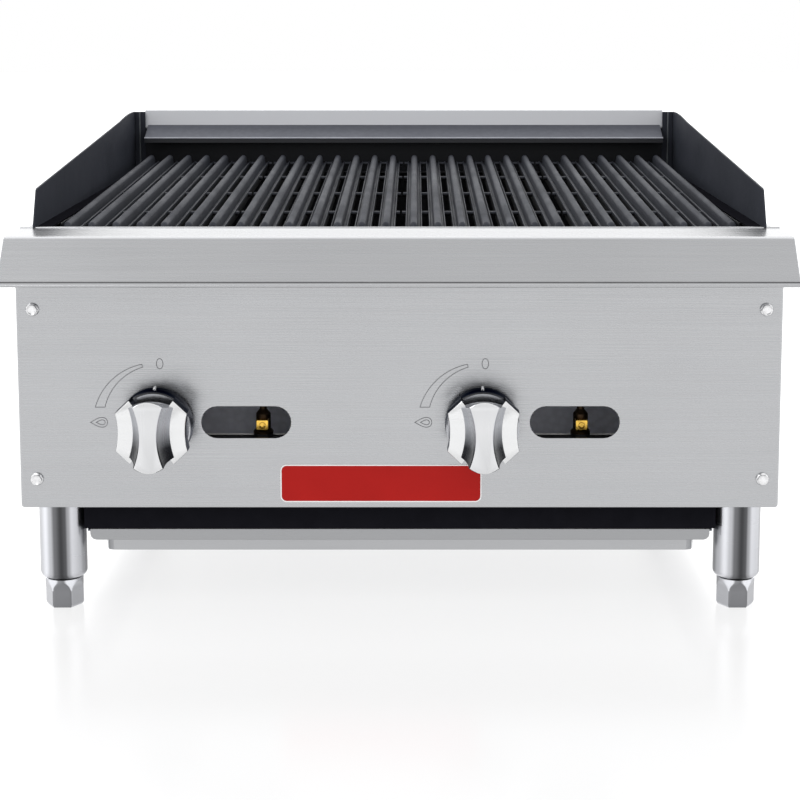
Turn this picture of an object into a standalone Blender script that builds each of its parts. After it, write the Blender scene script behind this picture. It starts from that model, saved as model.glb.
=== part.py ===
"""Countertop gas charbroiler, 24 inches wide: two burners under four lift-off cast iron grates.

Metres, +Z up, front towards -Y. The origin is on the table, in the middle of the footprint.
Each separate piece of the grill is one named object. Depths are measured back from the front
panel's face, which back() turns into a Y coordinate.
"""

import math

import bmesh
import bpy
from mathutils import Matrix, Vector

# Driving dimensions of the cabinet.
WIDTH = 0.611
DEPTH = 0.700
LEDGE_REACH = 0.068
PANEL_Y = LEDGE_REACH - DEPTH / 2
GAUGE = 0.0012
HEAVY_GAUGE = 0.0015
GAP = 0.0003
BEND_GAP = 2 * GAP
HALF = WIDTH / 2

# Levels above the table.
PANEL_BOTTOM = 0.0885
LEDGE_BOTTOM = 0.277
LEDGE_TOP = 0.3125
BACK_TOP = 0.378
BASE_GAUGE = 0.002
DECK = PANEL_BOTTOM + BASE_GAUGE + GAP
SIDE_TOP = LEDGE_TOP - GAUGE - 2 * GAP

# Depths behind the front panel's face.
SIDE_FRONT = GAUGE + BEND_GAP
SIDE_BACK = 0.603
FIREBOX_FRONT = 0.078
FIREBOX_BACK = 0.5756
LEDGE_BACK = 0.027
LEDGE_CORNER_RADIUS = 0.007
LEDGE_CORNER_DEPTH = -0.0345
LEDGE_SLOPE = 43.0
LIP_TOP = 0.2805
LIP_CHAMFER = 0.0015
SIDE_FLANGE = 0.020

# Widths from the middle.
SIDE_X = HALF - GAUGE - BEND_GAP
SPLASH_X = 0.293
FIREBOX_X = 0.264
FIREBOX_TOP_X = 0.2822
BACK_STRIP_X = 0.2825

# Controls: a gas tap for each burner, with its knob, its viewing slot and its pilot valve.
SIDES = ("left", "right")
KNOB_X = {"left": -0.194, "right": 0.066}
KNOB_Z = 0.1585
SLOT_X = {"left": -0.123, "right": 0.1405}
SLOT_WIDTH = 0.072
SLOT_HEIGHT = 0.026
SHAFT_HOLE_RADIUS = 0.0065
STEM_RADIUS = 0.004
PILOT_OFFSET = 0.082
SCREW_X = 0.292
SCREW_LEVELS = {"upper": 0.250, "lower": 0.112}
SCREW_HOLE_RADIUS = 0.0025

# Gas pipe.
PIPE_RADIUS = 0.01335
PIPE_BORE_RADIUS = 0.0105
MANIFOLD_DEPTH = 0.036
MANIFOLD_Z = 0.127
MANIFOLD_LEFT = -0.240
MANIFOLD_RIGHT = 0.262
INLET_X = 0.283
INLET_BEND = 0.020
BOSS_TOP = 0.142
BOSS_RADIUS = 0.008

# Burners and radiants.
LEG_PITCH = 0.126
BURNER_RADIUS = 0.016
BURNER_WALL = 0.003
BURNER_FRONT = 0.100
BURNER_BACK = 0.560
MOUTH_DEPTH = 0.067
MOUTH_RADIUS = 0.018
THROAT_RADIUS = 0.012
RADIANT_BOTTOM = 0.192
RADIANT_HEIGHT = 0.034
RADIANT_FRONT = 0.096
RADIANT_BACK = 0.558

# Grates.
GRATES = 4
BARS = 7
BAR_PITCH = 0.0198
GRATE_PITCH = 0.1415
GRATE_LENGTH = 0.536
GRATE_FRONT = 0.042
GRATE_HEIGHT = 0.017
GRATE_TOP_FRONT = 0.3144
GRATE_RISE = 0.0176
TIE_WIDTH = 0.008
TIES = 5

# Legs and feet.
LEG_X = 0.277
LEG_DEPTHS = {"front": 0.028, "rear": 0.583}
LEG_RADIUS = 0.019
LEG_FLOOR = 0.0243
LEG_BORE_RADIUS = 0.0065
LEG_BORE_TOP = 0.080
FOOT_HEIGHT = 0.024
FOOT_RADIUS = 0.0155
FOOT_FLATS = 0.0135

# Drip tray and the housing that it slides under.
HOUSING_X = 0.2575
HOUSING_FRONT = 0.015
HOUSING_BACK = 0.585
HOUSING_BOTTOM = 0.067
TRAY_RIM_X = 0.2520
TRAY_LIP_X = 0.253
TRAY_BODY_X = 0.243
TRAY_TOP = 0.066
TRAY_BOTTOM = 0.0446
TRAY_LIP_BOTTOM = 0.057
TRAY_FRONT = 0.018
TRAY_BACK = 0.580


def back(depth):
    """The Y coordinate of a point this far behind the front panel's face."""
    return PANEL_Y + depth


def clear_scene():
    for obj in list(bpy.data.objects):
        bpy.data.objects.remove(obj, do_unlink=True)


# Materials.


def material(name, colour, roughness, metallic):
    """A plain Principled material, made once for each name."""
    found = bpy.data.materials.get(name)
    if found:
        return found
    made = bpy.data.materials.new(name)
    made.use_nodes = True
    shader = made.node_tree.nodes["Principled BSDF"]
    shader.inputs["Base Color"].default_value = (*colour, 1.0)
    shader.inputs["Roughness"].default_value = roughness
    shader.inputs["Metallic"].default_value = metallic
    made.diffuse_color = (*colour, 1.0)
    return made


def stainless():
    return material("stainless_steel", (0.50, 0.50, 0.51), 0.35, 1.0)


def black_enamel():
    return material("black_enamel", (0.012, 0.013, 0.016), 0.30, 0.0)


def cast_iron():
    return material("cast_iron", (0.045, 0.050, 0.058), 0.65, 0.6)


def aluminised_steel():
    return material("aluminised_steel", (0.30, 0.31, 0.33), 0.50, 1.0)


def black_pipe():
    return material("black_iron_pipe", (0.02, 0.02, 0.02), 0.50, 0.5)


def brass():
    return material("brass", (0.75, 0.48, 0.12), 0.30, 1.0)


def aluminium():
    return material("aluminium_tube", (0.70, 0.71, 0.72), 0.35, 1.0)


def satin_chrome():
    return material("satin_chrome", (0.75, 0.75, 0.76), 0.22, 1.0)


def red_enamel():
    return material("red_enamel", (0.45, 0.015, 0.015), 0.35, 0.0)


# Shapes. Each outline is a list of points, in order round the shape.


def arc(centre, radius, start, end, steps):
    """Points on a circle from one angle to another, in degrees, both ends included."""
    points = []
    for step in range(steps + 1):
        angle = math.radians(start + (end - start) * step / steps)
        points.append((centre[0] + radius * math.cos(angle), centre[1] + radius * math.sin(angle)))
    return points


def circle(radius, sides):
    return arc((0.0, 0.0), radius, 0.0, 360.0, sides)[:-1]


def hexagon_in_circle(flats, radius, sides):
    """A bar's round section with six flats milled on it. `flats` is half the distance across them."""
    points = []
    for side in range(sides):
        angle = 2 * math.pi * side / sides
        off_flat = (angle + math.pi / 2) % (math.pi / 3)
        off_flat = min(off_flat, math.pi / 3 - off_flat)
        reach = min(radius, flats / math.cos(off_flat))
        points.append((reach * math.cos(angle), reach * math.sin(angle)))
    return points


def rounded_rectangle(left, right, low, high, radius, steps):
    corners = (
        ((right - radius, low + radius), -90.0),
        ((right - radius, high - radius), 0.0),
        ((left + radius, high - radius), 90.0),
        ((left + radius, low + radius), 180.0),
    )
    return [p for centre, start in corners for p in arc(centre, radius, start, start + 90.0, steps)]


def rectangle(left, right, low, high):
    return [(left, low), (right, low), (right, high), (left, high)]


def folded_sheet(path, gauge):
    """The section of a sheet of this gauge, folded along the path, with mitred corners."""
    points = [Vector(p) for p in path]
    one_side = []
    other_side = []
    for index, point in enumerate(points):
        before = (point - points[index - 1]).normalized() if index else None
        after = (points[index + 1] - point).normalized() if index < len(points) - 1 else None
        along = ((before or after) + (after or before)).normalized()
        normal = Vector((-along.y, along.x))
        square = Vector((-(before or after).y, (before or after).x))
        reach = gauge / 2 / normal.dot(square)
        one_side.append(tuple(point + normal * reach))
        other_side.append(tuple(point - normal * reach))
    return one_side + other_side[::-1]


def loft(loops, ring=False):
    """A skin over loops of equally many points. The ends are capped, or joined if it is a ring."""
    mesh = bmesh.new()
    rows = [[mesh.verts.new(point) for point in loop] for loop in loops]
    pairs = list(zip(rows, rows[1:]))
    if ring:
        pairs.append((rows[-1], rows[0]))
    else:
        mesh.faces.new(rows[0])
        mesh.faces.new(rows[-1])
    for row, following in pairs:
        count = len(row)
        for index in range(count):
            after = (index + 1) % count
            mesh.faces.new((row[index], row[after], following[after], following[index]))
    return mesh


def add_object(name, mesh, surface):
    """Makes the named object from a bmesh, facing out, with smooth rounds and sharp edges."""
    bmesh.ops.recalc_face_normals(mesh, faces=mesh.faces)
    data = bpy.data.meshes.new(name)
    mesh.to_mesh(data)
    mesh.free()
    data.shade_smooth()
    data.set_sharp_from_angle(angle=math.radians(30))
    data.materials.append(surface)
    made = bpy.data.objects.new(name, data)
    bpy.context.scene.collection.objects.link(made)
    return made


def on_axis(axis, point, along):
    """A point of an outline, put in space: the outline lies across this axis, at `along` on it."""
    u, v = point
    return {"X": (along, u, v), "Y": (u, along, v), "Z": (u, v, along)}[axis]


def prism(name, outline, axis, start, end, surface):
    """An outline extruded along a world axis, from `start` to `end`."""
    loops = [[on_axis(axis, point, along) for point in outline] for along in (start, end)]
    return add_object(name, loft(loops), surface)


def box(name, x, y, z, surface):
    """A block between two values on each axis."""
    return prism(name, rectangle(*x, *y), "Z", *z, surface)


TURNS = {
    "up": Matrix.Identity(4),
    "front": Matrix.Rotation(math.radians(90), 4, "X"),
    "back": Matrix.Rotation(math.radians(-90), 4, "X"),
    "right": Matrix.Rotation(math.radians(90), 4, "Y"),
}


def stack(name, outlines, facing, location, surface, ring=False):
    """Outlines stacked at heights along an axis through `location`, which is the object's origin."""
    loops = [[(x, y, height) for x, y in outline] for outline, height in outlines]
    made = add_object(name, loft(loops, ring), surface)
    made.matrix_world = Matrix.Translation(location) @ TURNS[facing]
    return made


def turned(name, profile, facing, location, surface, sides=14, ring=False):
    """A round piece from a profile of (radius, height) along its axis."""
    outlines = [(circle(radius, sides), height) for radius, height in profile]
    return stack(name, outlines, facing, location, surface, ring)


def boolean(body, helper, operation):
    modifier = body.modifiers.new(operation.title(), "BOOLEAN")
    modifier.operation = operation
    modifier.object = helper
    helper.hide_render = True
    helper.display_type = "WIRE"


def fuse(body, *helpers):
    for helper in helpers:
        boolean(body, helper, "UNION")
    return body


def cut(body, *helpers):
    for helper in helpers:
        boolean(body, helper, "DIFFERENCE")
    return body


# Cabinet.


def front_panel():
    """The stainless front, with both sides bent back, two tap holes and two viewing slots."""
    flange = 0.018
    bend = 0.0024
    face = back(0.0)
    outline = (
        [(-HALF, back(flange))]
        + arc((-HALF + bend, face + bend), bend, 180.0, 270.0, 4)
        + arc((HALF - bend, face + bend), bend, 270.0, 360.0, 4)
        + [(HALF, back(flange)), (HALF - GAUGE, back(flange))]
        + arc((HALF - bend, face + bend), bend - GAUGE, 0.0, -90.0, 4)
        + arc((-HALF + bend, face + bend), bend - GAUGE, -90.0, -180.0, 4)
        + [(-HALF + GAUGE, back(flange))]
    )
    panel = prism("front_panel", outline, "Z", PANEL_BOTTOM, SIDE_TOP, stainless())
    corner = 0.003
    for sign in (-1, 1):
        outer, low = sign * (HALF + 0.001), PANEL_BOTTOM - 0.001
        centre = (sign * (HALF - corner), PANEL_BOTTOM + corner)
        rounding = arc(centre, corner, 270.0, 270.0 + sign * 90.0, 4)
        waste = [(centre[0], low), *rounding, (outer, centre[1]), (outer, low)]
        depth = (back(-0.001), back(flange + 0.001))
        cut(panel, prism(f"cut_corner_{sign + 1}", waste, "Y", *depth, stainless()))
    through = (back(-0.004), back(0.006))
    for side in SIDES:
        hole = [
            (KNOB_X[side] + x, KNOB_Z + z) for x, z in circle(SHAFT_HOLE_RADIUS, 16)
        ]
        cut(panel, prism(f"cut_shaft_{side}", hole, "Y", *through, stainless()))
        slot = rounded_rectangle(
            SLOT_X[side] - SLOT_WIDTH / 2,
            SLOT_X[side] + SLOT_WIDTH / 2,
            KNOB_Z - SLOT_HEIGHT / 2,
            KNOB_Z + SLOT_HEIGHT / 2,
            SLOT_HEIGHT / 2 - 0.0001,
            6,
        )
        cut(panel, prism(f"cut_slot_{side}", slot, "Y", *through, stainless()))
    for x, z, name in screw_places():
        hole = [(x + u, z + v) for u, v in circle(SCREW_HOLE_RADIUS, 8)]
        cut(panel, prism(f"cut_{name}", hole, "Y", *through, stainless()))


def screw_places():
    """(x, z, name) of the four screws at the corners of the front panel."""
    return [
        (sign * SCREW_X, z, f"panel_screw_{level}_{side}")
        for level, z in SCREW_LEVELS.items()
        for sign, side in ((-1, "left"), (1, "right"))
    ]


def panel_screws():
    """Hexagon heads with a flange, and a shank through the panel into the side's flange."""
    sides = 12
    flange_radius = 0.00535
    head_flats = 0.004
    head_radius = 0.0046
    shank_radius = 0.0019
    head = hexagon_in_circle(head_flats, head_radius, sides)
    for x, z, name in screw_places():
        outlines = (
            (circle(shank_radius, sides), -0.014),
            (circle(shank_radius, sides), GAP),
            (circle(flange_radius, sides), GAP),
            (circle(flange_radius, sides), 0.0013),
            (head, 0.0013),
            (head, 0.0048),
        )
        stack(name, outlines, "front", (x, PANEL_Y, z), satin_chrome())


def ledge_outline(inset):
    """The front ledge's section in (depth, height), drawn in by `inset`, without its back tongue."""
    lip_depth = -LEDGE_REACH + inset
    centre = (LEDGE_CORNER_DEPTH, LEDGE_TOP - LEDGE_CORNER_RADIUS)
    top_arc = arc(centre, LEDGE_CORNER_RADIUS - inset, 90.0, 90.0 + LEDGE_SLOPE, 5)
    rise = inset * math.tan(math.radians(90.0 - LEDGE_SLOPE) / 2)
    return top_arc, (lip_depth, LIP_TOP + rise), (lip_depth, LEDGE_BOTTOM + LIP_CHAMFER + rise)


def bullnose():
    """The rounded front ledge: a folded sheet closed at both ends, open towards the panel."""
    wall = HEAVY_GAUGE
    top_arc, lip_top, lip_bottom = ledge_outline(0.0)
    outer = [
        (LEDGE_BACK, LEDGE_TOP),
        *top_arc,
        lip_top,
        lip_bottom,
        (-LEDGE_REACH + LIP_CHAMFER, LEDGE_BOTTOM),
        (-GAP, LEDGE_BOTTOM),
        (-GAP, LEDGE_TOP - GAUGE),
        (LEDGE_BACK, LEDGE_TOP - GAUGE),
    ]
    inner_arc, inner_lip_top, inner_lip_bottom = ledge_outline(wall)
    inner = [
        (0.001, LEDGE_TOP - wall),
        *inner_arc,
        inner_lip_top,
        inner_lip_bottom,
        (0.001, LEDGE_BOTTOM + wall),
    ]
    ledge = prism("bullnose", at_depth(outer), "X", -HALF, HALF, stainless())
    reach = HALF - GAUGE
    cut(ledge, prism("cut_bullnose", at_depth(inner), "X", -reach, reach, stainless()))


def at_depth(outline):
    """Turns an outline in (depth, height) into one in (Y, Z)."""
    return [(back(depth), height) for depth, height in outline]


def pan(name, outer, wall, axis, rim, floor, surface):
    """A shallow pan across an axis: its open rim at `rim`, and the outside of its floor at `floor`."""
    left, right, low, high = outer
    inner = rectangle(left + wall, right - wall, low + wall, high - wall)
    inside_floor = floor + math.copysign(wall, rim - floor)
    stations = (
        (inner, inside_floor),
        (inner, rim),
        (rectangle(*outer), rim),
        (rectangle(*outer), floor),
    )
    loops = [[on_axis(axis, p, along) for p in outline] for outline, along in stations]
    return add_object(name, loft(loops), surface)


def side_panels():
    """Stainless sides with a flange turned in on all four edges."""
    for sign, side in ((-1, "left"), (1, "right")):
        outer = (back(SIDE_FRONT), back(SIDE_BACK), DECK, SIDE_TOP)
        rim = sign * (SIDE_X - SIDE_FLANGE)
        panel = pan(f"side_panel_{side}", outer, GAUGE, "X", rim, sign * SIDE_X, stainless())
        for level, z in SCREW_LEVELS.items():
            hole = [(sign * SCREW_X + u, z + v) for u, v in circle(SCREW_HOLE_RADIUS, 8)]
            cutter = prism(
                f"cut_flange_{level}_{side}", hole, "Y", back(-0.001), back(0.010), stainless()
            )
            cut(panel, cutter)
        if side == "right":
            cut(panel, bpy.data.objects["cut_pipe_back"])


def pipe_clearances():
    """Cutters that give the gas pipe its way through the walls that it passes."""
    radius = PIPE_RADIUS + 0.0012
    outline = [(INLET_X + x, MANIFOLD_Z + z) for x, z in circle(radius, 20)]
    prism("cut_pipe_front", outline, "Y", back(0.070), back(0.086), stainless())
    prism("cut_pipe_back", outline, "Y", back(0.570), back(0.610), stainless())


def back_panel():
    """The stainless back, rising above the cabinet as a strip with a hem turned back."""
    face = SIDE_BACK + GAP
    outline = [
        (-SIDE_X, DECK),
        (SIDE_X, DECK),
        (SIDE_X, SIDE_TOP),
        (BACK_STRIP_X, SIDE_TOP),
        (BACK_STRIP_X, BACK_TOP),
        (-BACK_STRIP_X, BACK_TOP),
        (-BACK_STRIP_X, SIDE_TOP),
        (-SIDE_X, SIDE_TOP),
    ]
    hem = box(
        "fuse_back_hem",
        (-BACK_STRIP_X + 0.001, BACK_STRIP_X - 0.001),
        (back(face + GAUGE / 2), back(face + 0.009)),
        (BACK_TOP - 0.0021, BACK_TOP - 0.0007),
        stainless(),
    )
    panel = prism("back_panel", outline, "Y", back(face), back(face + GAUGE), stainless())
    fuse(panel, hem)
    cut(panel, bpy.data.objects["cut_pipe_back"])


def base_pan():
    """The bottom plate: open over the drip tray, with a hole for each leg's stud."""
    reach = SIDE_X - 0.0005
    opening = (-0.255, 0.255, back(0.084), back(0.568))
    plate = [
        (rectangle(*opening), PANEL_BOTTOM),
        (rectangle(-reach, reach, back(SIDE_FRONT), back(SIDE_BACK)), PANEL_BOTTOM),
        (rectangle(-reach, reach, back(SIDE_FRONT), back(SIDE_BACK)), PANEL_BOTTOM + BASE_GAUGE),
        (rectangle(*opening), PANEL_BOTTOM + BASE_GAUGE),
    ]
    base = stack("base_pan", plate, "up", (0, 0, 0), aluminised_steel(), ring=True)
    for x, y, name in leg_places():
        hole = [(x + u, y + v) for u, v in circle(0.0056, 12)]
        cut(base, prism(f"cut_stud_{name}", hole, "Z", 0.080, 0.100, aluminised_steel()))


def splashes():
    """Black side guards: an upright sheet with a foot turned in, and a flange across the back."""
    front = 0.022
    foot_level = LEDGE_TOP - GAUGE
    flange_top = 0.3766
    outline = [
        (front, LEDGE_TOP + GAP),
        (LEDGE_BACK + BEND_GAP, LEDGE_TOP + GAP),
        (LEDGE_BACK + BEND_GAP, foot_level),
        (0.600, foot_level),
        (0.600, flange_top + 0.0002),
        (0.572, 0.3762),
        (0.530, 0.3742),
        (0.492, 0.3715),
        (0.038, 0.3425),
    ]
    inner_x = 0.2818
    for sign, side in ((-1, "left"), (1, "right")):
        faces = sorted((sign * SPLASH_X, sign * (SPLASH_X + HEAVY_GAUGE)))
        guard = prism(f"splash_{side}", at_depth(outline), "X", *faces, black_enamel())
        across = sorted((sign * inner_x, sign * (SPLASH_X + HEAVY_GAUGE / 2)))
        foot = box(
            f"fuse_foot_{side}",
            across,
            (back(LEDGE_BACK + 0.002), back(0.5995)),
            (foot_level + 0.0001, foot_level + HEAVY_GAUGE),
            black_enamel(),
        )
        flange = box(
            f"fuse_rear_{side}",
            across,
            (back(0.600 - HEAVY_GAUGE), back(0.5999)),
            (foot_level + 0.0005, flange_top),
            black_enamel(),
        )
        fuse(guard, foot, flange)


def flue_deflector():
    """A sloping sheet below the back strip, with its lip turned down over the flue gap."""
    path = [(0.6024, 0.352), (0.6024, 0.3611), (0.572, 0.349), (0.5712, 0.3445)]
    outline = folded_sheet(at_depth(path), GAUGE)
    prism("flue_deflector", outline, "X", -0.2796, 0.2796, aluminised_steel())


def firebox_walls():
    """Four liner walls round the burners. The front one slopes forward and carries the grates."""
    half = 0.2795
    front_path = [(FIREBOX_FRONT, DECK), (FIREBOX_FRONT, 0.232), (0.030, 0.280), (0.030, 0.304)]
    front = prism(
        "firebox_front_wall",
        folded_sheet(at_depth(front_path), HEAVY_GAUGE),
        "X",
        -half,
        half,
        aluminised_steel(),
    )
    ledge_top = GRATE_TOP_FRONT - GRATE_HEIGHT - 0.0005
    ledge = box(
        "fuse_grate_ledge",
        (-half + 0.0005, half - 0.0005),
        (back(0.030), back(0.054)),
        (ledge_top - HEAVY_GAUGE, ledge_top),
        aluminised_steel(),
    )
    fuse(front, ledge)
    cut(front, bpy.data.objects["cut_pipe_front"])
    for side in SIDES:
        for x, z, radius, name in wall_passages(side):
            hole = [(x + u, z + v) for u, v in circle(radius, 12)]
            cutter = prism(name, hole, "Y", back(0.072), back(0.084), aluminised_steel())
            cut(front, cutter)

    rear_top = 0.3132
    rear_path = [(FIREBOX_BACK, DECK), (FIREBOX_BACK, rear_top), (0.560, rear_top)]
    rear_outline = folded_sheet(at_depth(rear_path), GAUGE)
    rear = prism("firebox_rear_wall", rear_outline, "X", -half, half, aluminised_steel())
    cut(rear, bpy.data.objects["cut_pipe_back"])

    side_path = [(FIREBOX_X, DECK), (FIREBOX_X, 0.236), (FIREBOX_TOP_X, 0.262), (FIREBOX_TOP_X, 0.3107)]
    for sign, side in ((-1, "left"), (1, "right")):
        outline = folded_sheet([(sign * x, z) for x, z in side_path], GAUGE)
        prism(
            f"firebox_side_{side}", outline, "Y", back(0.0796), back(0.5742), aluminised_steel()
        )


def wall_passages(side):
    """(x, z, radius, name) of the holes in the front wall for a burner and its pilot tube."""
    return (
        (KNOB_X[side], KNOB_Z, 0.0165, f"cut_burner_hole_{side}"),
        (KNOB_X[side] + PILOT_OFFSET, 0.184, 0.004, f"cut_pilot_hole_{side}"),
    )


# Grates, radiants and burners.


def grate_mesh():
    """One grate: bars with a raised ridge between two flanges, tied across at flange height."""
    half_flange = 0.007
    flange_height = 0.009
    ridge = ((0.0042, 0.0078), (0.0028, GRATE_HEIGHT))
    tie_pitch = (GRATE_LENGTH - TIE_WIDTH) / (TIES - 1)
    stations = [y for tie in range(TIES) for y in (tie * tie_pitch, tie * tie_pitch + TIE_WIDTH)]
    mesh = bmesh.new()

    def row(x, z, along):
        return [mesh.verts.new((x, y, z)) for y in along]

    bars = []
    for index in range(BARS):
        middle = (index - (BARS - 1) / 2) * BAR_PITCH
        bar = {}
        for sign in (-1, 1):
            bar[sign, "bottom"] = row(middle + sign * half_flange, 0.0, stations)
            bar[sign, "flange"] = row(middle + sign * half_flange, flange_height, stations)
            ends = (stations[0], stations[-1])
            bar[sign, "base"] = row(middle + sign * ridge[0][0], ridge[0][1], ends)
            bar[sign, "top"] = row(middle + sign * ridge[1][0], ridge[1][1], ends)
        bars.append(bar)

    order = ((-1, "bottom"), (-1, "flange"), (-1, "base"), (-1, "top"))
    order += tuple((1, part) for _, part in reversed(order))
    for bar in bars:
        for first, second in zip(order, order[1:] + order[:1]):
            if {first[1], second[1]} != {"bottom", "flange"}:
                mesh.faces.new(bar[first] + bar[second][::-1])
        mesh.faces.new([bar[key][0] for key in order])
        mesh.faces.new([bar[key][-1] for key in order])

    for index, bar in enumerate(bars):
        for sign in (-1, 1):
            has_neighbour = 0 <= index + sign < BARS
            low, high = bar[sign, "bottom"], bar[sign, "flange"]
            for place in range(len(stations) - 1):
                if place % 2 == 0 and has_neighbour:
                    continue
                mesh.faces.new((low[place], low[place + 1], high[place + 1], high[place]))

    for bar, neighbour in zip(bars, bars[1:]):
        for place in range(0, len(stations), 2):
            corners = [
                [beam[sign, part][spot] for beam, sign in ((bar, 1), (neighbour, -1))]
                for part, spot in (
                    ("bottom", place),
                    ("bottom", place + 1),
                    ("flange", place + 1),
                    ("flange", place),
                )
            ]
            for first, second in zip(corners, corners[1:] + corners[:1]):
                mesh.faces.new((*first, *second[::-1]))
    return mesh


def grates():
    """Four grates side by side, sloping up to the back on the firebox's two ledges."""
    tilt = math.asin(GRATE_RISE / GRATE_LENGTH)
    data = None
    for index in range(GRATES):
        name = f"grate_{index + 1}"
        if data is None:
            grate = add_object(name, grate_mesh(), cast_iron())
            data = grate.data
        else:
            grate = bpy.data.objects.new(name, data)
            bpy.context.scene.collection.objects.link(grate)
        x = (index - (GRATES - 1) / 2) * GRATE_PITCH
        grate.location = (x, back(GRATE_FRONT), GRATE_TOP_FRONT - GRATE_HEIGHT)
        grate.rotation_euler = (tilt, 0.0, 0.0)


def radiants():
    """A ridge-shaped radiant over each leg of each burner, on a support at the front and back."""
    half_width = 0.052
    half_crown = 0.010
    thickness = 0.003
    centres = [KNOB_X[side] + leg * LEG_PITCH for side in SIDES for leg in (0, 1)]
    for index, x in enumerate(centres):
        path = [
            (x - half_width, RADIANT_BOTTOM + thickness),
            (x - half_crown, RADIANT_BOTTOM + RADIANT_HEIGHT),
            (x + half_crown, RADIANT_BOTTOM + RADIANT_HEIGHT),
            (x + half_width, RADIANT_BOTTOM + thickness),
        ]
        outline = folded_sheet(path, thickness)
        y = (back(RADIANT_FRONT), back(RADIANT_BACK))
        prism(f"radiant_{index + 1}", outline, "Y", *y, cast_iron())

    shelf = RADIANT_BOTTOM - HEAVY_GAUGE / 2 - GAP
    reach = FIREBOX_X - GAUGE / 2 - GAP
    front_path = [(0.0895, 0.206), (0.0895, shelf), (0.112, shelf)]
    front_outline = folded_sheet(at_depth(front_path), HEAVY_GAUGE)
    prism("radiant_support_front", front_outline, "X", -reach, reach, aluminised_steel())
    burner_shelf = KNOB_Z - BURNER_RADIUS - HEAVY_GAUGE / 2 - GAP
    rear_path = [(0.546, shelf), (0.570, shelf), (0.570, burner_shelf), (0.540, burner_shelf)]
    rear_outline = folded_sheet(at_depth(rear_path), HEAVY_GAUGE)
    prism("rear_support", rear_outline, "X", -reach, reach, aluminised_steel())


def burner_shapes(side, inset, prefix):
    """The burner's tubes, drawn in by `inset`: the leg with the mouth, then what joins onto it."""
    x = KNOB_X[side]
    mouth_profile = [
        (MOUTH_RADIUS - inset, MOUTH_DEPTH - (0.001 if inset else 0.0)),
        (MOUTH_RADIUS - inset, MOUTH_DEPTH + 0.002),
        (THROAT_RADIUS - inset, MOUTH_DEPTH + 0.0095),
        (THROAT_RADIUS - inset, 0.094),
        (BURNER_RADIUS - inset, 0.104),
        (BURNER_RADIUS - inset, BURNER_BACK - inset),
    ]
    far_profile = [
        (BURNER_RADIUS - inset, BURNER_FRONT + inset),
        (BURNER_RADIUS - inset, BURNER_BACK - inset),
    ]
    start = (x, PANEL_Y, KNOB_Z)
    far = (x + LEG_PITCH, PANEL_Y, KNOB_Z)
    surface = cast_iron()
    main = turned(f"{prefix}_{side}", mouth_profile, "back", start, surface)
    others = [turned(f"{prefix}_far_{side}", far_profile, "back", far, surface)]
    for place, depth, radius in (("front", 0.122, 0.0128), ("rear", 0.540, 0.0108)):
        cross_profile = [(radius - inset, 0.004), (radius - inset, LEG_PITCH - 0.004)]
        centre = (x, back(depth), KNOB_Z)
        name = f"{prefix}_{place}_{side}"
        others.append(turned(name, cross_profile, "right", centre, surface, sides=12))
    return main, others


def burners():
    """Hollow cast burners: two legs joined at both ends, fed through the mouth of the left leg."""
    for side in SIDES:
        body, joined = burner_shapes(side, 0.0, "burner")
        fuse(body, *joined)
        hollow, ways = burner_shapes(side, BURNER_WALL, "cut_burner")
        cut(body, hollow, *ways)


def air_shutters():
    """A sleeve that turns on the burner's mouth, with a tab to turn it by."""
    inner = MOUTH_RADIUS + 0.0007
    outer = inner + 0.0016
    for side in SIDES:
        profile = [(inner, 0.065), (outer, 0.065), (outer, 0.0765), (inner, 0.0765)]
        start = (KNOB_X[side], PANEL_Y, KNOB_Z)
        sleeve = turned(f"air_shutter_{side}", profile, "back", start, aluminised_steel(), ring=True)
        tab = box(
            f"fuse_tab_{side}",
            (KNOB_X[side] - 0.004, KNOB_X[side] + 0.004),
            (back(0.068), back(0.0695)),
            (KNOB_Z + inner + 0.0008, KNOB_Z + outer + 0.007),
            aluminised_steel(),
        )
        fuse(sleeve, tab)


# Gas train.


def gas_taps():
    """The tap bodies, the plugs that turn in them, and the brass jets screwed on behind."""
    plug_radius = 0.0066
    for side in SIDES:
        start = (KNOB_X[side], PANEL_Y, KNOB_Z)
        body_profile = [
            (0.0070, 0.010),
            (0.0130, 0.010),
            (0.0130, 0.017),
            (0.0110, 0.017),
            (0.0110, 0.050),
            (0.0055, 0.050),
            (0.0055, 0.058),
            (0.0020, 0.058),
            (0.0020, 0.040),
            (0.0070, 0.040),
        ]
        body = turned(f"valve_body_{side}", body_profile, "back", start, brass(), ring=True)
        inlet = turned(
            f"fuse_inlet_{side}",
            [(0.0062, BOSS_TOP + GAP), (0.0062, KNOB_Z - 0.0085)],
            "up",
            (KNOB_X[side], back(MANIFOLD_DEPTH), 0.0),
            brass(),
            sides=12,
        )
        fuse(body, inlet)
        plug_profile = [
            (STEM_RADIUS + GAP, 0.030),
            (STEM_RADIUS + GAP, 0.013),
            (plug_radius, 0.013),
            (plug_radius, 0.0395),
        ]
        turned(f"valve_plug_{side}", plug_profile, "back", start, brass())
        jet_profile = [
            (0.0058, 0.0503),
            (0.0080, 0.0503),
            (0.0080, 0.060),
            (0.0040, 0.0655),
            (0.0010, 0.0655),
            (0.0010, 0.0600),
            (0.0058, 0.0590),
        ]
        turned(f"orifice_{side}", jet_profile, "back", start, brass(), sides=12, ring=True)


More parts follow.
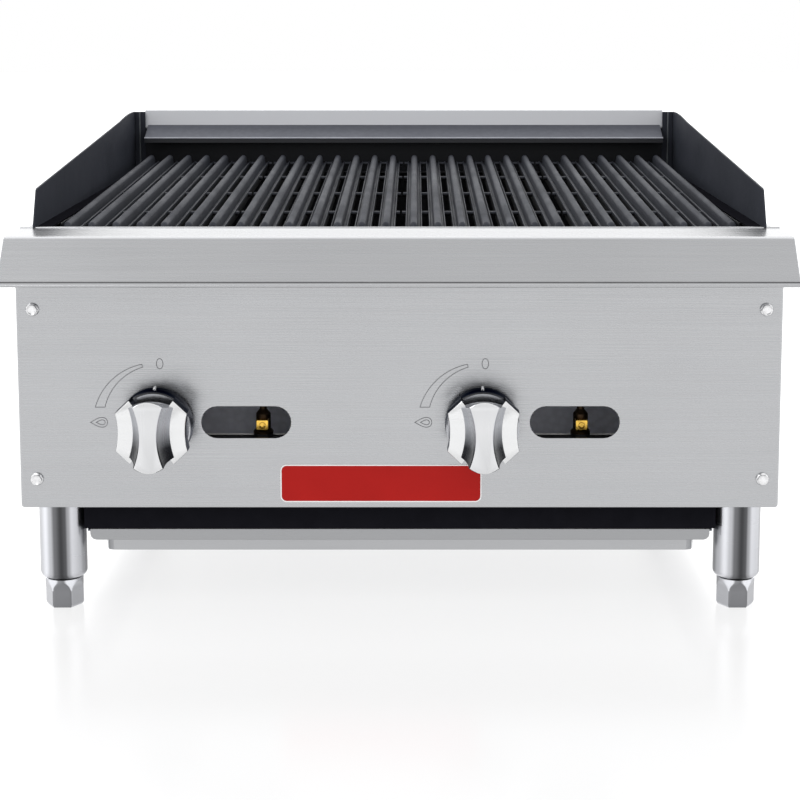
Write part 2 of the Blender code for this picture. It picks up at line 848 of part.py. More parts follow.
def manifold():
    """The pipe behind the panel that feeds both taps and both pilots, closed at its left end."""
    pipe_profile = [
        (PIPE_BORE_RADIUS, MANIFOLD_LEFT + 0.006),
        (PIPE_BORE_RADIUS, MANIFOLD_RIGHT),
        (PIPE_RADIUS, MANIFOLD_RIGHT),
        (PIPE_RADIUS, MANIFOLD_LEFT),
    ]
    centre = (0.0, back(MANIFOLD_DEPTH), MANIFOLD_Z)
    pipe = turned("manifold", pipe_profile, "right", centre, black_pipe(), sides=16)
    for side in SIDES:
        for use, offset in (("tap", 0.0), ("pilot", PILOT_OFFSET)):
            boss = turned(
                f"fuse_boss_{use}_{side}",
                [(BOSS_RADIUS, MANIFOLD_Z + PIPE_BORE_RADIUS + 0.0012), (BOSS_RADIUS, BOSS_TOP)],
                "up",
                (KNOB_X[side] + offset, back(MANIFOLD_DEPTH), 0.0),
                black_pipe(),
                sides=12,
            )
            fuse(pipe, boss)


def gas_inlet_pipe():
    """The pipe from the manifold, round a bend and out through the back on the right."""
    sides = 16
    bend_steps = 4
    bend_x = INLET_X - INLET_BEND
    start_y = back(MANIFOLD_DEPTH)
    path = [((MANIFOLD_RIGHT + GAP, start_y), 0.0)]
    for step in range(bend_steps + 1):
        turn = math.radians(90.0 * step / bend_steps)
        x = bend_x + INLET_BEND * math.sin(turn)
        y = start_y + INLET_BEND * (1 - math.cos(turn))
        path.append(((x, y), turn))
    path.append(((INLET_X, DEPTH / 2), math.radians(90)))

    def section(place, radius):
        (x, y), turn = place
        loop = []
        for across, up in circle(radius, sides):
            loop.append((x - across * math.sin(turn), y + across * math.cos(turn), MANIFOLD_Z + up))
        return loop

    loops = [section(place, PIPE_RADIUS) for place in path]
    loops += [section(place, PIPE_BORE_RADIUS) for place in reversed(path)]
    add_object("gas_inlet_pipe", loft(loops, ring=True), black_pipe())


def pilots():
    """For each burner, a pilot valve on the manifold, its tube, and the pilot burner at its end."""
    for side in SIDES:
        x = KNOB_X[side] + PILOT_OFFSET
        axis = (x, back(MANIFOLD_DEPTH), 0.0)
        neck_top = 0.1705
        profile = [
            (0.0085, BOSS_TOP + GAP),
            (0.0085, 0.1445),
            (0.0052, 0.1500),
            (0.0052, 0.1645),
            (0.0036, 0.1660),
            (0.0036, neck_top),
        ]
        valve = turned(f"pilot_valve_{side}", profile, "up", axis, brass(), sides=12)
        port = box(
            f"fuse_port_{side}",
            (x - 0.0050, x + 0.0050),
            (back(0.023), back(0.034)),
            (KNOB_Z - 0.0045, KNOB_Z + 0.0040),
            brass(),
        )
        screw = turned(
            f"fuse_port_screw_{side}",
            [(0.0026, -0.0240), (0.0026, -0.0218)],
            "front",
            (x, PANEL_Y, KNOB_Z - GAP),
            brass(),
            sides=12,
        )
        fuse(valve, port, screw)
        tip = pilot_tube(side, x, neck_top)
        pilot_burner(side, tip)


def pilot_tube(side, x, neck_top):
    """A small tube: up from the pilot valve, back through the wall, and over to the burner."""
    radius = 0.0024
    level = 0.184
    bend = 0.012
    sway = 0.017
    depth = MANIFOLD_DEPTH
    points = [(x, back(depth), neck_top + GAP)]
    for step in range(6):
        turn = math.radians(90.0 * step / 5)
        forward = bend * (1 - math.cos(turn))
        points.append((x, back(depth + forward), level - bend + bend * math.sin(turn)))
    sway_start, sway_end = 0.082, 0.116
    for step in range(7):
        share = step / 6
        ease = share * share * (3 - 2 * share)
        points.append((x + sway * ease, back(sway_start + (sway_end - sway_start) * share), level))
    points.append((x + sway, back(sway_end + 0.003), level))
    data = bpy.data.curves.new(f"pilot_tube_{side}", "CURVE")
    data.dimensions = "3D"
    data.bevel_depth = radius
    data.bevel_resolution = 2
    data.use_fill_caps = True
    data.materials.append(aluminium())
    spline = data.splines.new("POLY")
    spline.points.add(len(points) - 1)
    for point, place in zip(spline.points, points):
        point.co = (*place, 1.0)
    tube = bpy.data.objects.new(f"pilot_tube_{side}", data)
    bpy.context.scene.collection.objects.link(tube)
    return points[-1]


def pilot_burner(side, tip):
    """A short hood at the end of the pilot tube, beside the burner's second leg."""
    profile = [(0.0042, GAP), (0.0042, 0.008), (0.0052, 0.009), (0.0052, 0.020)]
    turned(f"pilot_burner_{side}", profile, "back", tip, aluminised_steel(), sides=12)


# Controls.


def grip_outline(scale_x, scale_z):
    """The finger grip seen from the front: tall, waisted, with rounded ends."""
    waist, shoulder, reach, crown = 0.0074, 0.0118, 0.0250, 0.0284
    points = []
    for sign in (1, -1):
        for step in range(-3, 4):
            share = step / 3
            half_width = waist + (shoulder - waist) * share * share
            points.append((sign * half_width, sign * share * reach))
        for step in (-1, 0, 1):
            bulge = (crown - reach) * (1 - (step / 2) ** 2)
            points.append((-sign * step * shoulder / 2, sign * (reach + bulge)))
    return [(x * scale_x, z * scale_z) for x, z in points]


def wing_outline(scale):
    """The knob's body behind the grip: an octagon with hollowed left and right sides."""
    quarter = [(0.0264, 0.0), (0.0269, 0.0075), (0.0282, 0.0150), (0.0174, 0.0253), (0.0060, 0.0280)]
    right = [(x, -z) for x, z in reversed(quarter[1:])] + quarter
    left = [(-x, -z) for x, z in right]
    return [(x * scale, z * scale) for x, z in right + left]


def knobs():
    """A round skirt, a winged body and a raised grip, on the stem that turns the tap's plug."""
    for side in SIDES:
        start = (KNOB_X[side], PANEL_Y, KNOB_Z)
        skirt_profile = [
            (STEM_RADIUS, -0.024),
            (STEM_RADIUS, 0.0045),
            (0.0285, 0.0045),
            (0.0293, 0.0060),
            (0.0290, 0.0210),
        ]
        knob = turned(f"knob_{side}", skirt_profile, "front", start, satin_chrome(), sides=24)
        wings = stack(
            f"fuse_wings_{side}",
            ((wing_outline(0.99), 0.0190), (wing_outline(1.0), 0.0230), (wing_outline(0.98), 0.0390)),
            "front",
            start,
            satin_chrome(),
        )
        grip = stack(
            f"fuse_grip_{side}",
            (
                (grip_outline(1.75, 1.0), 0.0300),
                (grip_outline(1.20, 1.0), 0.0460),
                (grip_outline(1.0, 0.98), 0.0600),
            ),
            "front",
            start,
            satin_chrome(),
        )
        fuse(knob, wings, grip)


def nameplate():
    """A blank red plate low on the panel."""
    outline = rounded_rectangle(-0.095, 0.065, 0.094, 0.123, 0.004, 3)
    prism("nameplate", outline, "Y", back(-0.0011), back(-GAP), red_enamel())


# Legs, feet and drip tray.


def leg_places():
    """(x, y, name) of each of the four legs."""
    return [
        (sign * LEG_X, back(depth), f"{end}_{side}")
        for end, depth in LEG_DEPTHS.items()
        for sign, side in ((-1, "left"), (1, "right"))
    ]


def legs_and_feet():
    """Tube legs with a stud into the base, and feet that screw up into them."""
    stud_radius = 0.005
    shoulder = 0.005
    leg_top = PANEL_BOTTOM - GAP
    rounding = arc((LEG_RADIUS - shoulder, LEG_FLOOR + shoulder), shoulder, 0.0, -90.0, 3)
    leg_profile = [
        (stud_radius, 0.104),
        (stud_radius, leg_top),
        (LEG_RADIUS, leg_top),
        *rounding,
        (LEG_BORE_RADIUS, LEG_FLOOR),
        (LEG_BORE_RADIUS, LEG_BORE_TOP),
    ]
    sides = 12
    round_collar = circle(FOOT_RADIUS, sides)
    flats = hexagon_in_circle(FOOT_FLATS, FOOT_RADIUS, sides)
    toe = [(x * 0.92, y * 0.92) for x, y in flats]
    screw = circle(LEG_BORE_RADIUS - 0.0004, sides)
    foot_outlines = (
        (screw, 0.077),
        (screw, FOOT_HEIGHT),
        (round_collar, FOOT_HEIGHT),
        (round_collar, 0.0215),
        (flats, 0.0175),
        (flats, 0.0022),
        (toe, 0.0),
    )
    for x, y, name in leg_places():
        turned(f"leg_{name}", leg_profile, "up", (x, y, 0.0), stainless(), sides=16)
        stack(f"foot_{name}", foot_outlines, "up", (x, y, 0.0), stainless())


def tray_housing():
    """A black frame below the base that leads drips to the tray."""
    outer = (-HOUSING_X, HOUSING_X, back(HOUSING_FRONT), back(HOUSING_BACK))
    wall = HEAVY_GAUGE
    inner = (outer[0] + wall, outer[1] - wall, outer[2] + wall, outer[3] - wall)
    top = PANEL_BOTTOM - GAP
    frame = [
        (rectangle(*outer), HOUSING_BOTTOM),
        (rectangle(*outer), top),
        (rectangle(*inner), top),
        (rectangle(*inner), HOUSING_BOTTOM),
    ]
    stack("tray_housing", frame, "up", (0, 0, 0), black_enamel(), ring=True)


def tray_rails():
    """Angles inside the housing that the tray's rim slides on."""
    web_x = HOUSING_X - HEAVY_GAUGE - GAP - GAUGE / 2
    ledge_z = TRAY_TOP - GAUGE - GAP - GAUGE / 2
    for sign, side in ((-1, "left"), (1, "right")):
        path = [(sign * web_x, 0.086), (sign * web_x, ledge_z), (sign * 0.246, ledge_z)]
        outline = folded_sheet(path, GAUGE)
        prism(f"tray_rail_{side}", outline, "Y", back(0.0205), back(0.5825), aluminised_steel())


def drip_tray():
    """A pan with a rim all round, and a lip turned down along its front edge."""
    corner = 0.006
    steps = 2

    def loop(x, front, rear, radius):
        return rounded_rectangle(-x, x, back(front), back(rear), radius, steps)

    rim_bottom = TRAY_TOP - GAUGE
    outer_top = loop(TRAY_BODY_X, 0.030, 0.572, corner)
    inner_top = loop(TRAY_BODY_X - GAUGE, 0.030 + GAUGE, 0.572 - GAUGE, corner - GAUGE)
    rim = loop(TRAY_RIM_X, TRAY_FRONT, TRAY_BACK, corner)
    stations = (
        (loop(TRAY_BODY_X - 0.001, 0.031, 0.571, corner), TRAY_BOTTOM),
        (outer_top, rim_bottom),
        (rim, rim_bottom),
        (rim, TRAY_TOP),
        (inner_top, TRAY_TOP),
        (
            loop(TRAY_BODY_X - 0.001 - GAUGE, 0.031 + GAUGE, 0.571 - GAUGE, corner - GAUGE),
            TRAY_BOTTOM + GAUGE,
        ),
    )
    tray = stack("drip_tray", stations, "up", (0, 0, 0), stainless())
    rounding = 0.005
    lip_outline = [
        (-TRAY_LIP_X, TRAY_TOP + 0.0002),
        *arc((-TRAY_LIP_X + rounding, TRAY_LIP_BOTTOM + rounding), rounding, 180.0, 270.0, 3),
        *arc((TRAY_LIP_X - rounding, TRAY_LIP_BOTTOM + rounding), rounding, 270.0, 360.0, 3),
        (TRAY_LIP_X, TRAY_TOP + 0.0002),
    ]
    depths = (back(TRAY_FRONT - HEAVY_GAUGE), back(TRAY_FRONT + 0.0007))
    fuse(tray, prism("fuse_tray_lip", lip_outline, "Y", *depths, stainless()))


def main():
    clear_scene()
    pipe_clearances()
    front_panel()
    panel_screws()
    nameplate()
    bullnose()
    side_panels()
    back_panel()
    base_pan()
    splashes()
    flue_deflector()
    firebox_walls()
    grates()
    radiants()
    burners()
    air_shutters()
    gas_taps()
    manifold()
    gas_inlet_pipe()
    pilots()
    knobs()
    legs_and_feet()
    tray_housing()
    tray_rails()
    drip_tray()


main()
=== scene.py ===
# Looks of the countertop gas charbroiler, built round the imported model.
# Most nodes keep their CAD shape, with sheet edges rounded and a procedural finish. Grates, knobs,
# screws, legs, feet, pilot valves, side guards and the inlet pipe are replaced by detailed meshes,
# placed from the boxes of the nodes they stand for.
# Metres and degrees, +Z up, front towards -Y.
import math

import bmesh
import bpy
from mathutils import Matrix, Vector


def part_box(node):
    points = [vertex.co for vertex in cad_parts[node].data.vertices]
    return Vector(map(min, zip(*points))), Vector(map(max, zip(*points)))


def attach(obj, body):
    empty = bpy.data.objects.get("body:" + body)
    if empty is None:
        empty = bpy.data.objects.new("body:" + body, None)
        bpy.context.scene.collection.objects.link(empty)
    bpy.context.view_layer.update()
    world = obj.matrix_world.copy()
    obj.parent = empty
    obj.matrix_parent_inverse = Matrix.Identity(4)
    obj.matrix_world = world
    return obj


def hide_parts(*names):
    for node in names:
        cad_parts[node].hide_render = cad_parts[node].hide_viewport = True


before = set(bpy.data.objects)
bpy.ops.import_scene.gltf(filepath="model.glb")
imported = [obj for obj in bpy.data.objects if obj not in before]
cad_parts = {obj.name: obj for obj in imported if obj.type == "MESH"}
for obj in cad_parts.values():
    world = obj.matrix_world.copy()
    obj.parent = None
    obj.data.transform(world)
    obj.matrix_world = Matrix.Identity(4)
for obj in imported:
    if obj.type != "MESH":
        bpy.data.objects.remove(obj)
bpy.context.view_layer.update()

SIDES = ("left", "right")
CABINET = "cabinet"
PANEL_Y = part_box("front_panel")[0].y
GAP = 0.0003
BEVEL_ANGLE = 28.0
SMOOTH_SIDES = 96

# Grates: ribbed bars standing in channels, tied together across.
GRATES = ("grate_1", "grate_2", "grate_3", "grate_4")
GRATE_HEIGHT = 0.017
BARS = 7
BAR_HALF_WIDTH = 0.007
RIB_HALF_WIDTH = 0.0036
RIB_FOOT = 0.0085
RIB_START = 0.0070
TIES = 5
TIE_WIDTH = 0.008
TIE_INSET = 0.0064

# Knobs: a skirt, a winged body up to KNOB_FACE, and the finger grip in front of it. The last row
# numbers the finishes that aren't plain chrome, which is 0; RECESS and SKIRT carry painted shade.
KNOB_FACE = 0.0390
GRIP_WAIST = 0.0074
GRIP_END = 0.01185
GRIP_REACH = 0.0284
GRIP_BASE_REACH = 0.0240
RECESS, SKIRT, SATIN = 1, 2, 3

# Marks printed or laid on the front panel.
PRINT_WIDTH = 0.00055
PRINT_PROUD = 0.00012
RIM_WIDTH = 0.0009

# Heights where painted shade begins.
BACK_PAINTED_SHADE = (0.356, 0.362)
TRAY_LIP_SHADE = (0.0565, 0.0575)
GRATE_SHADE_BELOW = 0.0078

# Heights over which the guards' enamel is painted greyer towards the top, a painted reflection.
GUARD_PAINTED_SHEEN = (0.348, 0.388)

# Folds and ribs that run across the grill.
LEDGE_SLOPE = 43.0
LEDGE_LIP = 0.0036
DEFLECTOR_DROP = 0.0125
SLOT_X = {"left": -0.123, "right": 0.1405}
SLOT_RIB_HALF_LENGTH = 0.042
SLOT_RIB_DEPTH = 0.0450
SLOT_RIB_Z = 0.1389

# A round table top, and one soft light from the front left.
FLOOR_RADIUS = 14.0
KEY_PLACE = (-1.4, -1.6, 2.0)
KEY_TARGET = (0.0, 0.0, 0.15)
KEY_SIZE = 1.4
KEY_POWER = 14.0

# Sky brightness by height, from 0 at the horizon to 1 overhead, and the share of it left in front.
SKY_STRENGTH = 2.2
SKY_FRONT_SHARE = 0.66
SKY_BLEND = 0.4
SKY_BANDS = (
    (0.0, 0.80),
    (0.10, 1.42),
    (0.20, 1.85),
    (0.32, 1.65),
    (0.60, 1.65),
    (0.76, 1.95),
    (0.88, 2.0),
    (0.95, 1.22),
    (1.0, 1.15),
)

# The camera: its place, its tilt from straight down, its lens in mm, and how far the lens is shifted.
CAMERA_PLACE = (0.0129, -1.8161, 0.4848)
CAMERA_PITCH = 81.93
CAMERA_LENS = 87.81
CAMERA_SHIFT = (-0.0196, -0.14)


def middle(node):
    """The middle of a CAD node's box."""
    low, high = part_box(node)
    return (low + high) / 2


# Outlines: lists of points in order round the shape.


def arc(centre, radius, start, end, steps):
    """Points on a circle from one angle to another, in degrees, both ends included."""
    points = []
    for step in range(steps + 1):
        angle = math.radians(start + (end - start) * step / steps)
        points.append((centre[0] + radius * math.cos(angle), centre[1] + radius * math.sin(angle)))
    return points


def circle(radius, sides, centre=(0.0, 0.0)):
    return arc(centre, radius, 0.0, 360.0, sides)[:-1]


def hexagon_in_circle(flats, radius, sides):
    """A round bar with six flats milled on it, one of them facing the front."""
    points = []
    for side in range(sides):
        angle = 2 * math.pi * side / sides
        off_flat = (angle + math.pi / 2) % (math.pi / 3)
        off_flat = min(off_flat, math.pi / 3 - off_flat)
        reach = min(radius, flats / math.cos(off_flat))
        points.append((reach * math.cos(angle), reach * math.sin(angle)))
    return points


def rounded_rectangle(left, right, low, high, radius, steps):
    corners = (
        ((right - radius, low + radius), -90.0),
        ((right - radius, high - radius), 0.0),
        ((left + radius, high - radius), 90.0),
        ((left + radius, low + radius), 180.0),
    )
    return [p for centre, start in corners for p in arc(centre, radius, start, start + 90.0, steps)]


def rectangle(left, right, low, high):
    return [(left, low), (right, low), (right, high), (left, high)]


# Meshes.


def loft(mesh, loops, ring=False):
    """Adds a skin over loops of equally many points. The ends are capped, or joined if it is a ring."""
    rows = [[mesh.verts.new(point) for point in loop] for loop in loops]
    pairs = list(zip(rows, rows[1:]))
    faces = []
    if ring:
        pairs.append((rows[-1], rows[0]))
    else:
        faces.append(mesh.faces.new(rows[0]))
        faces.append(mesh.faces.new(rows[-1]))
    for row, following in pairs:
        count = len(row)
        for index in range(count):
            after = (index + 1) % count
            faces.append(mesh.faces.new((row[index], row[after], following[after], following[index])))
    return faces


def stack(mesh, outlines, place):
    """Adds outlines stacked at heights along an axis. `place` is the matrix that stands it in space."""
    loops = [[place @ Vector((x, y, height)) for x, y in outline] for outline, height in outlines]
    return loft(mesh, loops)


def turned(mesh, profile, place, sides=48, ring=False):
    """Adds a round shape from a profile of (radius, height) along its axis."""
    loops = []
    for radius, height in profile:
        loops.append([place @ Vector((x, y, height)) for x, y in circle(radius, sides)])
    return loft(mesh, loops, ring)


def skin(mesh, sections, x=0.0, ring=False):
    """Adds a skin over (outline, y) sections, whose outlines are (x, z) points drawn about an x."""
    loops = [[Vector((x + u, y, v)) for u, v in outline] for outline, y in sections]
    return loft(mesh, loops, ring)


def extrude(mesh, outline, ends):
    """Adds a bar along X between two ends, from an outline of (y, z) points."""
    return loft(mesh, [[Vector((x, y, z)) for y, z in outline] for x in ends])


def block(mesh, x, y, z):
    """Adds a box between two values on each axis."""
    return loft(mesh, [[Vector((u, v, level)) for u, v in rectangle(*x, *y)] for level in z])


TURNS = {
    "up": Matrix.Identity(4),
    "front": Matrix.Rotation(math.radians(90), 4, "X"),
    "back": Matrix.Rotation(math.radians(-90), 4, "X"),
    "right": Matrix.Rotation(math.radians(90), 4, "Y"),
    "left": Matrix.Rotation(math.radians(-90), 4, "Y"),
}


def facing(direction, location):
    return Matrix.Translation(location) @ TURNS[direction]


def round_edges(piece, width):
    """Joins a node's triangles into clean faces, then rounds its sharp edges."""
    weld = piece.modifiers.new("Weld", "WELD")
    weld.merge_threshold = 0.00001
    flatten = piece.modifiers.new("Flatten", "DECIMATE")
    flatten.decimate_type = "DISSOLVE"
    flatten.angle_limit = math.radians(0.5)
    bevel = piece.modifiers.new("Bevel", "BEVEL")
    bevel.width = width
    bevel.segments = 2
    bevel.limit_method = "ANGLE"
    bevel.angle_limit = math.radians(BEVEL_ANGLE)
    bevel.use_clamp_overlap = False
    shade(piece)


def shade(piece):
    """Normals that leave big faces flat and let the small ones between them turn."""
    weighted = piece.modifiers.new("Normals", "WEIGHTED_NORMAL")
    weighted.weight = 90
    weighted.keep_sharp = True


def finish_mesh(name, mesh, surfaces, angle=30.0):
    """Mesh data from a bmesh, facing out, smooth up to an angle between faces."""
    bmesh.ops.recalc_face_normals(mesh, faces=mesh.faces)
    data = bpy.data.meshes.new(name)
    mesh.to_mesh(data)
    mesh.free()
    data.shade_smooth()
    data.set_sharp_from_angle(angle=math.radians(angle))
    for surface in surfaces:
        data.materials.append(surface)
    return data


def put_in_scene(name, data):
    made = bpy.data.objects.new(name, data)
    bpy.context.scene.collection.objects.link(made)
    return made


def add_piece(name, mesh, surfaces, body=CABINET, replaces=(), angle=30.0):
    """Makes the named piece from a bmesh and lets it ride on a CAD body."""
    made = put_in_scene(name, finish_mesh(name, mesh, surfaces, angle))
    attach(made, body)
    if replaces:
        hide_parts(*replaces)
    return made


# Materials.


def shaded(colour, share):
    """The colour made darker, or lighter if the share is over 1."""
    return [share * channel for channel in colour]


def evenly(scale):
    return (scale, scale, scale)


def fill_ramp(ramp, stops):
    """Sets a colour ramp's stops from rising (position, grey) pairs."""
    elements = ramp.color_ramp.elements
    while len(elements) < len(stops):
        elements.new(0.5)
    for element, (position, grey) in zip(elements, stops):
        element.position = position
        element.color = (grey, grey, grey, 1.0)


class Surface:
    """A Principled material and what is needed to add nodes to it."""

    def __init__(self, name, colour, roughness, metallic, **settings):
        self.material = bpy.data.materials.new(name)
        self.material.use_nodes = True
        self.nodes = self.material.node_tree.nodes
        self.links = self.material.node_tree.links
        self.shader = self.nodes["Principled BSDF"]
        self.set("Base Color", (*colour, 1.0))
        self.set("Roughness", roughness)
        self.set("Metallic", metallic)
        for key, value in settings.items():
            self.set(key.replace("_", " ").title().replace("Ior", "IOR"), value)
        self.roughness = roughness

    def set(self, socket, value):
        self.shader.inputs[socket].default_value = value

    def add(self, kind, **settings):
        node = self.nodes.new(kind)
        for key, value in settings.items():
            setattr(node, key, value)
        return node

    def link(self, source, target):
        self.links.new(source, target)

    def places(self, scale=(1.0, 1.0, 1.0)):
        """Object coordinates, stretched by a scale on each axis."""
        coordinates = self.add("ShaderNodeTexCoord")
        mapping = self.add("ShaderNodeMapping")
        mapping.inputs["Scale"].default_value = scale
        self.link(coordinates.outputs["Object"], mapping.inputs["Vector"])
        return mapping.outputs["Vector"]

    def split(self, vector):
        """The X, Y and Z outputs of a vector."""
        node = self.add("ShaderNodeSeparateXYZ")
        self.link(vector, node.inputs["Vector"])
        return node.outputs

    def noise(self, scale, detail=3.0, roughness=0.55):
        """Cloudy values round 0.5. A larger scale on an axis makes them finer along it."""
        texture = self.add("ShaderNodeTexNoise")
        texture.inputs["Scale"].default_value = 1.0
        texture.inputs["Detail"].default_value = detail
        texture.inputs["Roughness"].default_value = roughness
        self.link(self.places(scale), texture.inputs["Vector"])
        return texture.outputs["Fac"]

    def spread(self, value, low, high, start=0.3, end=0.7):
        """Maps a value that runs from start to end onto low to high."""
        node = self.add("ShaderNodeMapRange")
        for socket, number in zip(("From Min", "From Max", "To Min", "To Max"), (start, end, low, high)):
            node.inputs[socket].default_value = number
        self.link(value, node.inputs["Value"])
        return node.outputs["Result"]

    def vary_roughness(self, value, amount):
        low, high = self.roughness - amount, self.roughness + amount
        self.link(self.spread(value, low, high), self.shader.inputs["Roughness"])

    def mix_colour(self, value, other, low=0.0, high=1.0):
        """Moves the colour towards another one where the value is high."""
        socket = self.shader.inputs["Base Color"]
        mix = self.add("ShaderNodeMix", data_type="RGBA")
        if socket.is_linked:
            self.link(socket.links[0].from_socket, mix.inputs["A"])
        else:
            mix.inputs["A"].default_value = socket.default_value
        mix.inputs["B"].default_value = (*other, 1.0)
        self.link(self.spread(value, low, high), mix.inputs["Factor"])
        self.link(mix.outputs["Result"], socket)

    def facing_ramp(self, axis, stops):
        """Paints light and shade into the colour by how far the surface itself faces along an axis: (-1 to
        1, brightness).
        """
        normal = self.split(self.add("ShaderNodeTexCoord").outputs["Normal"])
        ramp = self.add("ShaderNodeValToRGB")
        self.link(self.spread(normal[axis], 0.0, 1.0, -1.0, 1.0), ramp.inputs["Fac"])
        ramp.color_ramp.interpolation = "EASE"
        fill_ramp(ramp, [((side + 1) / 2, brightness) for side, brightness in stops])
        socket = self.shader.inputs["Base Color"]
        tint = self.add("ShaderNodeMix", data_type="RGBA", blend_type="MULTIPLY")
        tint.inputs["Factor"].default_value = 1.0
        self.link(socket.links[0].from_socket, tint.inputs["A"])
        self.link(ramp.outputs["Color"], tint.inputs["B"])
        self.link(tint.outputs["Result"], socket)

    def bump(self, value, strength, distance):
        node = self.add("ShaderNodeBump")
        node.inputs["Strength"].default_value = strength
        node.inputs["Distance"].default_value = distance
        socket = self.shader.inputs["Normal"]
        if socket.is_linked:
            self.link(socket.links[0].from_socket, node.inputs["Normal"])
        self.link(value, node.inputs["Height"])
        self.link(node.outputs["Normal"], socket)


def brushed(name, colour, roughness, grain, depth=0.00004, metallic=1.0):
    """Brushed metal: fine scratches along the grain, with faint clouds of wiping over them."""
    surface = Surface(name, colour, roughness, metallic)
    across, along = 900.0, 7.0
    fine = surface.noise([along if axis in grain else across for axis in "XYZ"], 4.0, 0.65)
    coarse = surface.noise([2.0 if axis in grain else 120.0 for axis in "XYZ"], 3.0)
    clouds = surface.noise(evenly(9.0), 2.0)
    surface.vary_roughness(fine, 0.035)
    surface.mix_colour(coarse, shaded(colour, 0.97))
    surface.mix_colour(clouds, shaded(colour, 1.03), 0.0, 0.6)
    surface.bump(fine, 0.08, depth)
    return surface


# Painted reflection on turned steel: how bright its bands are painted, from its left side (-1) to its
# right side (1).
LEG_PAINTED_REFLECTION = (
    (-1.0, 0.22),
    (-0.88, 0.62),
    (-0.62, 1.0),
    (-0.40, 0.62),
    (-0.22, 0.20),
    (0.06, 0.07),
    (0.24, 0.12),
    (0.36, 0.42),
    (0.52, 0.80),
    (0.80, 0.68),
    (0.93, 0.42),
    (1.0, 0.20),
)
# Painted reflection on the feet, in the same way.
FOOT_PAINTED_REFLECTION = (
    (-1.0, 0.30),
    (-0.87, 0.62),
    (-0.60, 1.0),
    (-0.30, 1.0),
    (-0.14, 0.32),
    (0.10, 0.26),
    (0.30, 1.0),
    (0.60, 1.0),
    (0.87, 0.52),
    (1.0, 0.30),
)


def make_turned_steel(name, bands):
    """Turned steel with painted reflection: bright and dark bands down its length, by which way it faces.
    """
    surface = brushed(name, (0.80, 0.81, 0.85), 0.30, "XY", 0.00002)
    surface.facing_ramp("X", bands)
    return surface.material


def make_skirt_chrome():
    """The knob's round body: chrome with painted shade, darker the more it faces up."""
    surface = brushed("knob_skirt_chrome_painted_shade", (0.80, 0.81, 0.85), 0.20, "XZ", 0.00001)
    surface.set("Specular Tint", (0.30, 0.31, 0.34, 1.0))
    surface.facing_ramp("Z", ((-1.0, 0.75), (-0.2, 0.62), (0.3, 0.35), (0.7, 0.12), (1.0, 0.05)))
    return surface.material


def make_back_steel(face_y):
    """The back sheet: its front face is painted a lighter grey as painted light, and is painted black
    below as painted shade in the flue gap.
    """
    surface = brushed("steel_back", (0.40, 0.405, 0.415), 0.44, "X", 0.00004, 0.45)
    place = surface.split(surface.places())
    inside = surface.spread(place["Y"], 1.0, 0.0, face_y + 0.0003, face_y + 0.0006)
    below = surface.spread(place["Z"], 1.0, 0.0, *BACK_PAINTED_SHADE)
    both = surface.add("ShaderNodeMath", operation="MULTIPLY")
    surface.link(inside, both.inputs[0])
    surface.link(below, both.inputs[1])
    # Painted light: the front face is painted lighter. Painted shade: lower down on that face, it is
    # painted black.
    surface.mix_colour(inside, (0.70, 0.71, 0.74))
    surface.mix_colour(both.outputs["Value"], (0.006, 0.007, 0.010))
    return surface.material


def make_tray_steel(colour):
    """The drip tray's steel, with painted shade that darkens its lip."""
    surface = brushed("steel_tray", colour, 0.30, "X")
    lip = surface.spread(surface.split(surface.places())["Z"], 0.0, 1.0, *TRAY_LIP_SHADE)
    # Painted shade on the lip.
    surface.mix_colour(lip, shaded(colour, 0.76))
    return surface.material


def make_black_enamel():
    """Black enamel with a slight orange-peel ripple and faint smears, painted greyer towards its top as a
    painted reflection.
    """
    surface = Surface("black_enamel_painted_sheen", (0.006, 0.007, 0.009), 0.48, 0.0, specular_ior_level=0.06)
    ripple = surface.noise(evenly(260.0), 2.0)
    smears = surface.noise(evenly(14.0), 3.0)
    height = surface.split(surface.places())["Z"]
    surface.vary_roughness(smears, 0.07)
    surface.mix_colour(smears, (0.009, 0.010, 0.014))
    # Painted reflection: greyer higher up.
    surface.mix_colour(height, (0.066, 0.072, 0.092), *GUARD_PAINTED_SHEEN)
    surface.bump(ripple, 0.15, 0.00004)
    return surface.material


def make_cast_iron(name, colour, dark_below=None):
    """Seasoned cast iron: a sandy skin with darker, oilier patches, and, where a height is given, painted
    black low down as painted shade.
    """
    surface = Surface(name, colour, 0.62, 0.0, specular_ior_level=0.28)
    sand = surface.noise(evenly(900.0), 3.0, 0.6)
    pits = surface.noise(evenly(330.0), 2.0)
    patches = surface.noise((26.0, 14.0, 26.0), 3.0)
    surface.vary_roughness(patches, 0.10)
    surface.mix_colour(patches, shaded(colour, 0.62))
    surface.mix_colour(pits, shaded(colour, 1.35), 0.0, 0.45)
    # Painted shade: black low down, between the grate bars.
    if dark_below:
        height = surface.split(surface.places())["Z"]
        low = surface.spread(height, 1.0, 0.0, dark_below - 0.002, dark_below)
        surface.mix_colour(low, shaded(colour, 0.08))
    surface.bump(pits, 0.35, 0.00018)
    surface.bump(sand, 0.45, 0.00010)
    return surface.material


def make_sheet(name, colour, metallic):
    """Coated sheet: a dull colour with a soft grain of spangle."""
    surface = Surface(name, colour, 0.46, metallic)
    spangle = surface.add("ShaderNodeTexVoronoi")
    spangle.inputs["Scale"].default_value = 1.0
    surface.link(surface.places(evenly(180.0)), spangle.inputs["Vector"])
    clouds = surface.noise(evenly(11.0), 3.0)
    surface.vary_roughness(clouds, 0.08)
    surface.mix_colour(spangle.outputs["Distance"], shaded(colour, 0.85))
    surface.mix_colour(clouds, shaded(colour, 1.12), 0.0, 0.6)
    surface.bump(spangle.outputs["Distance"], 0.12, 0.00006)
    return surface.material


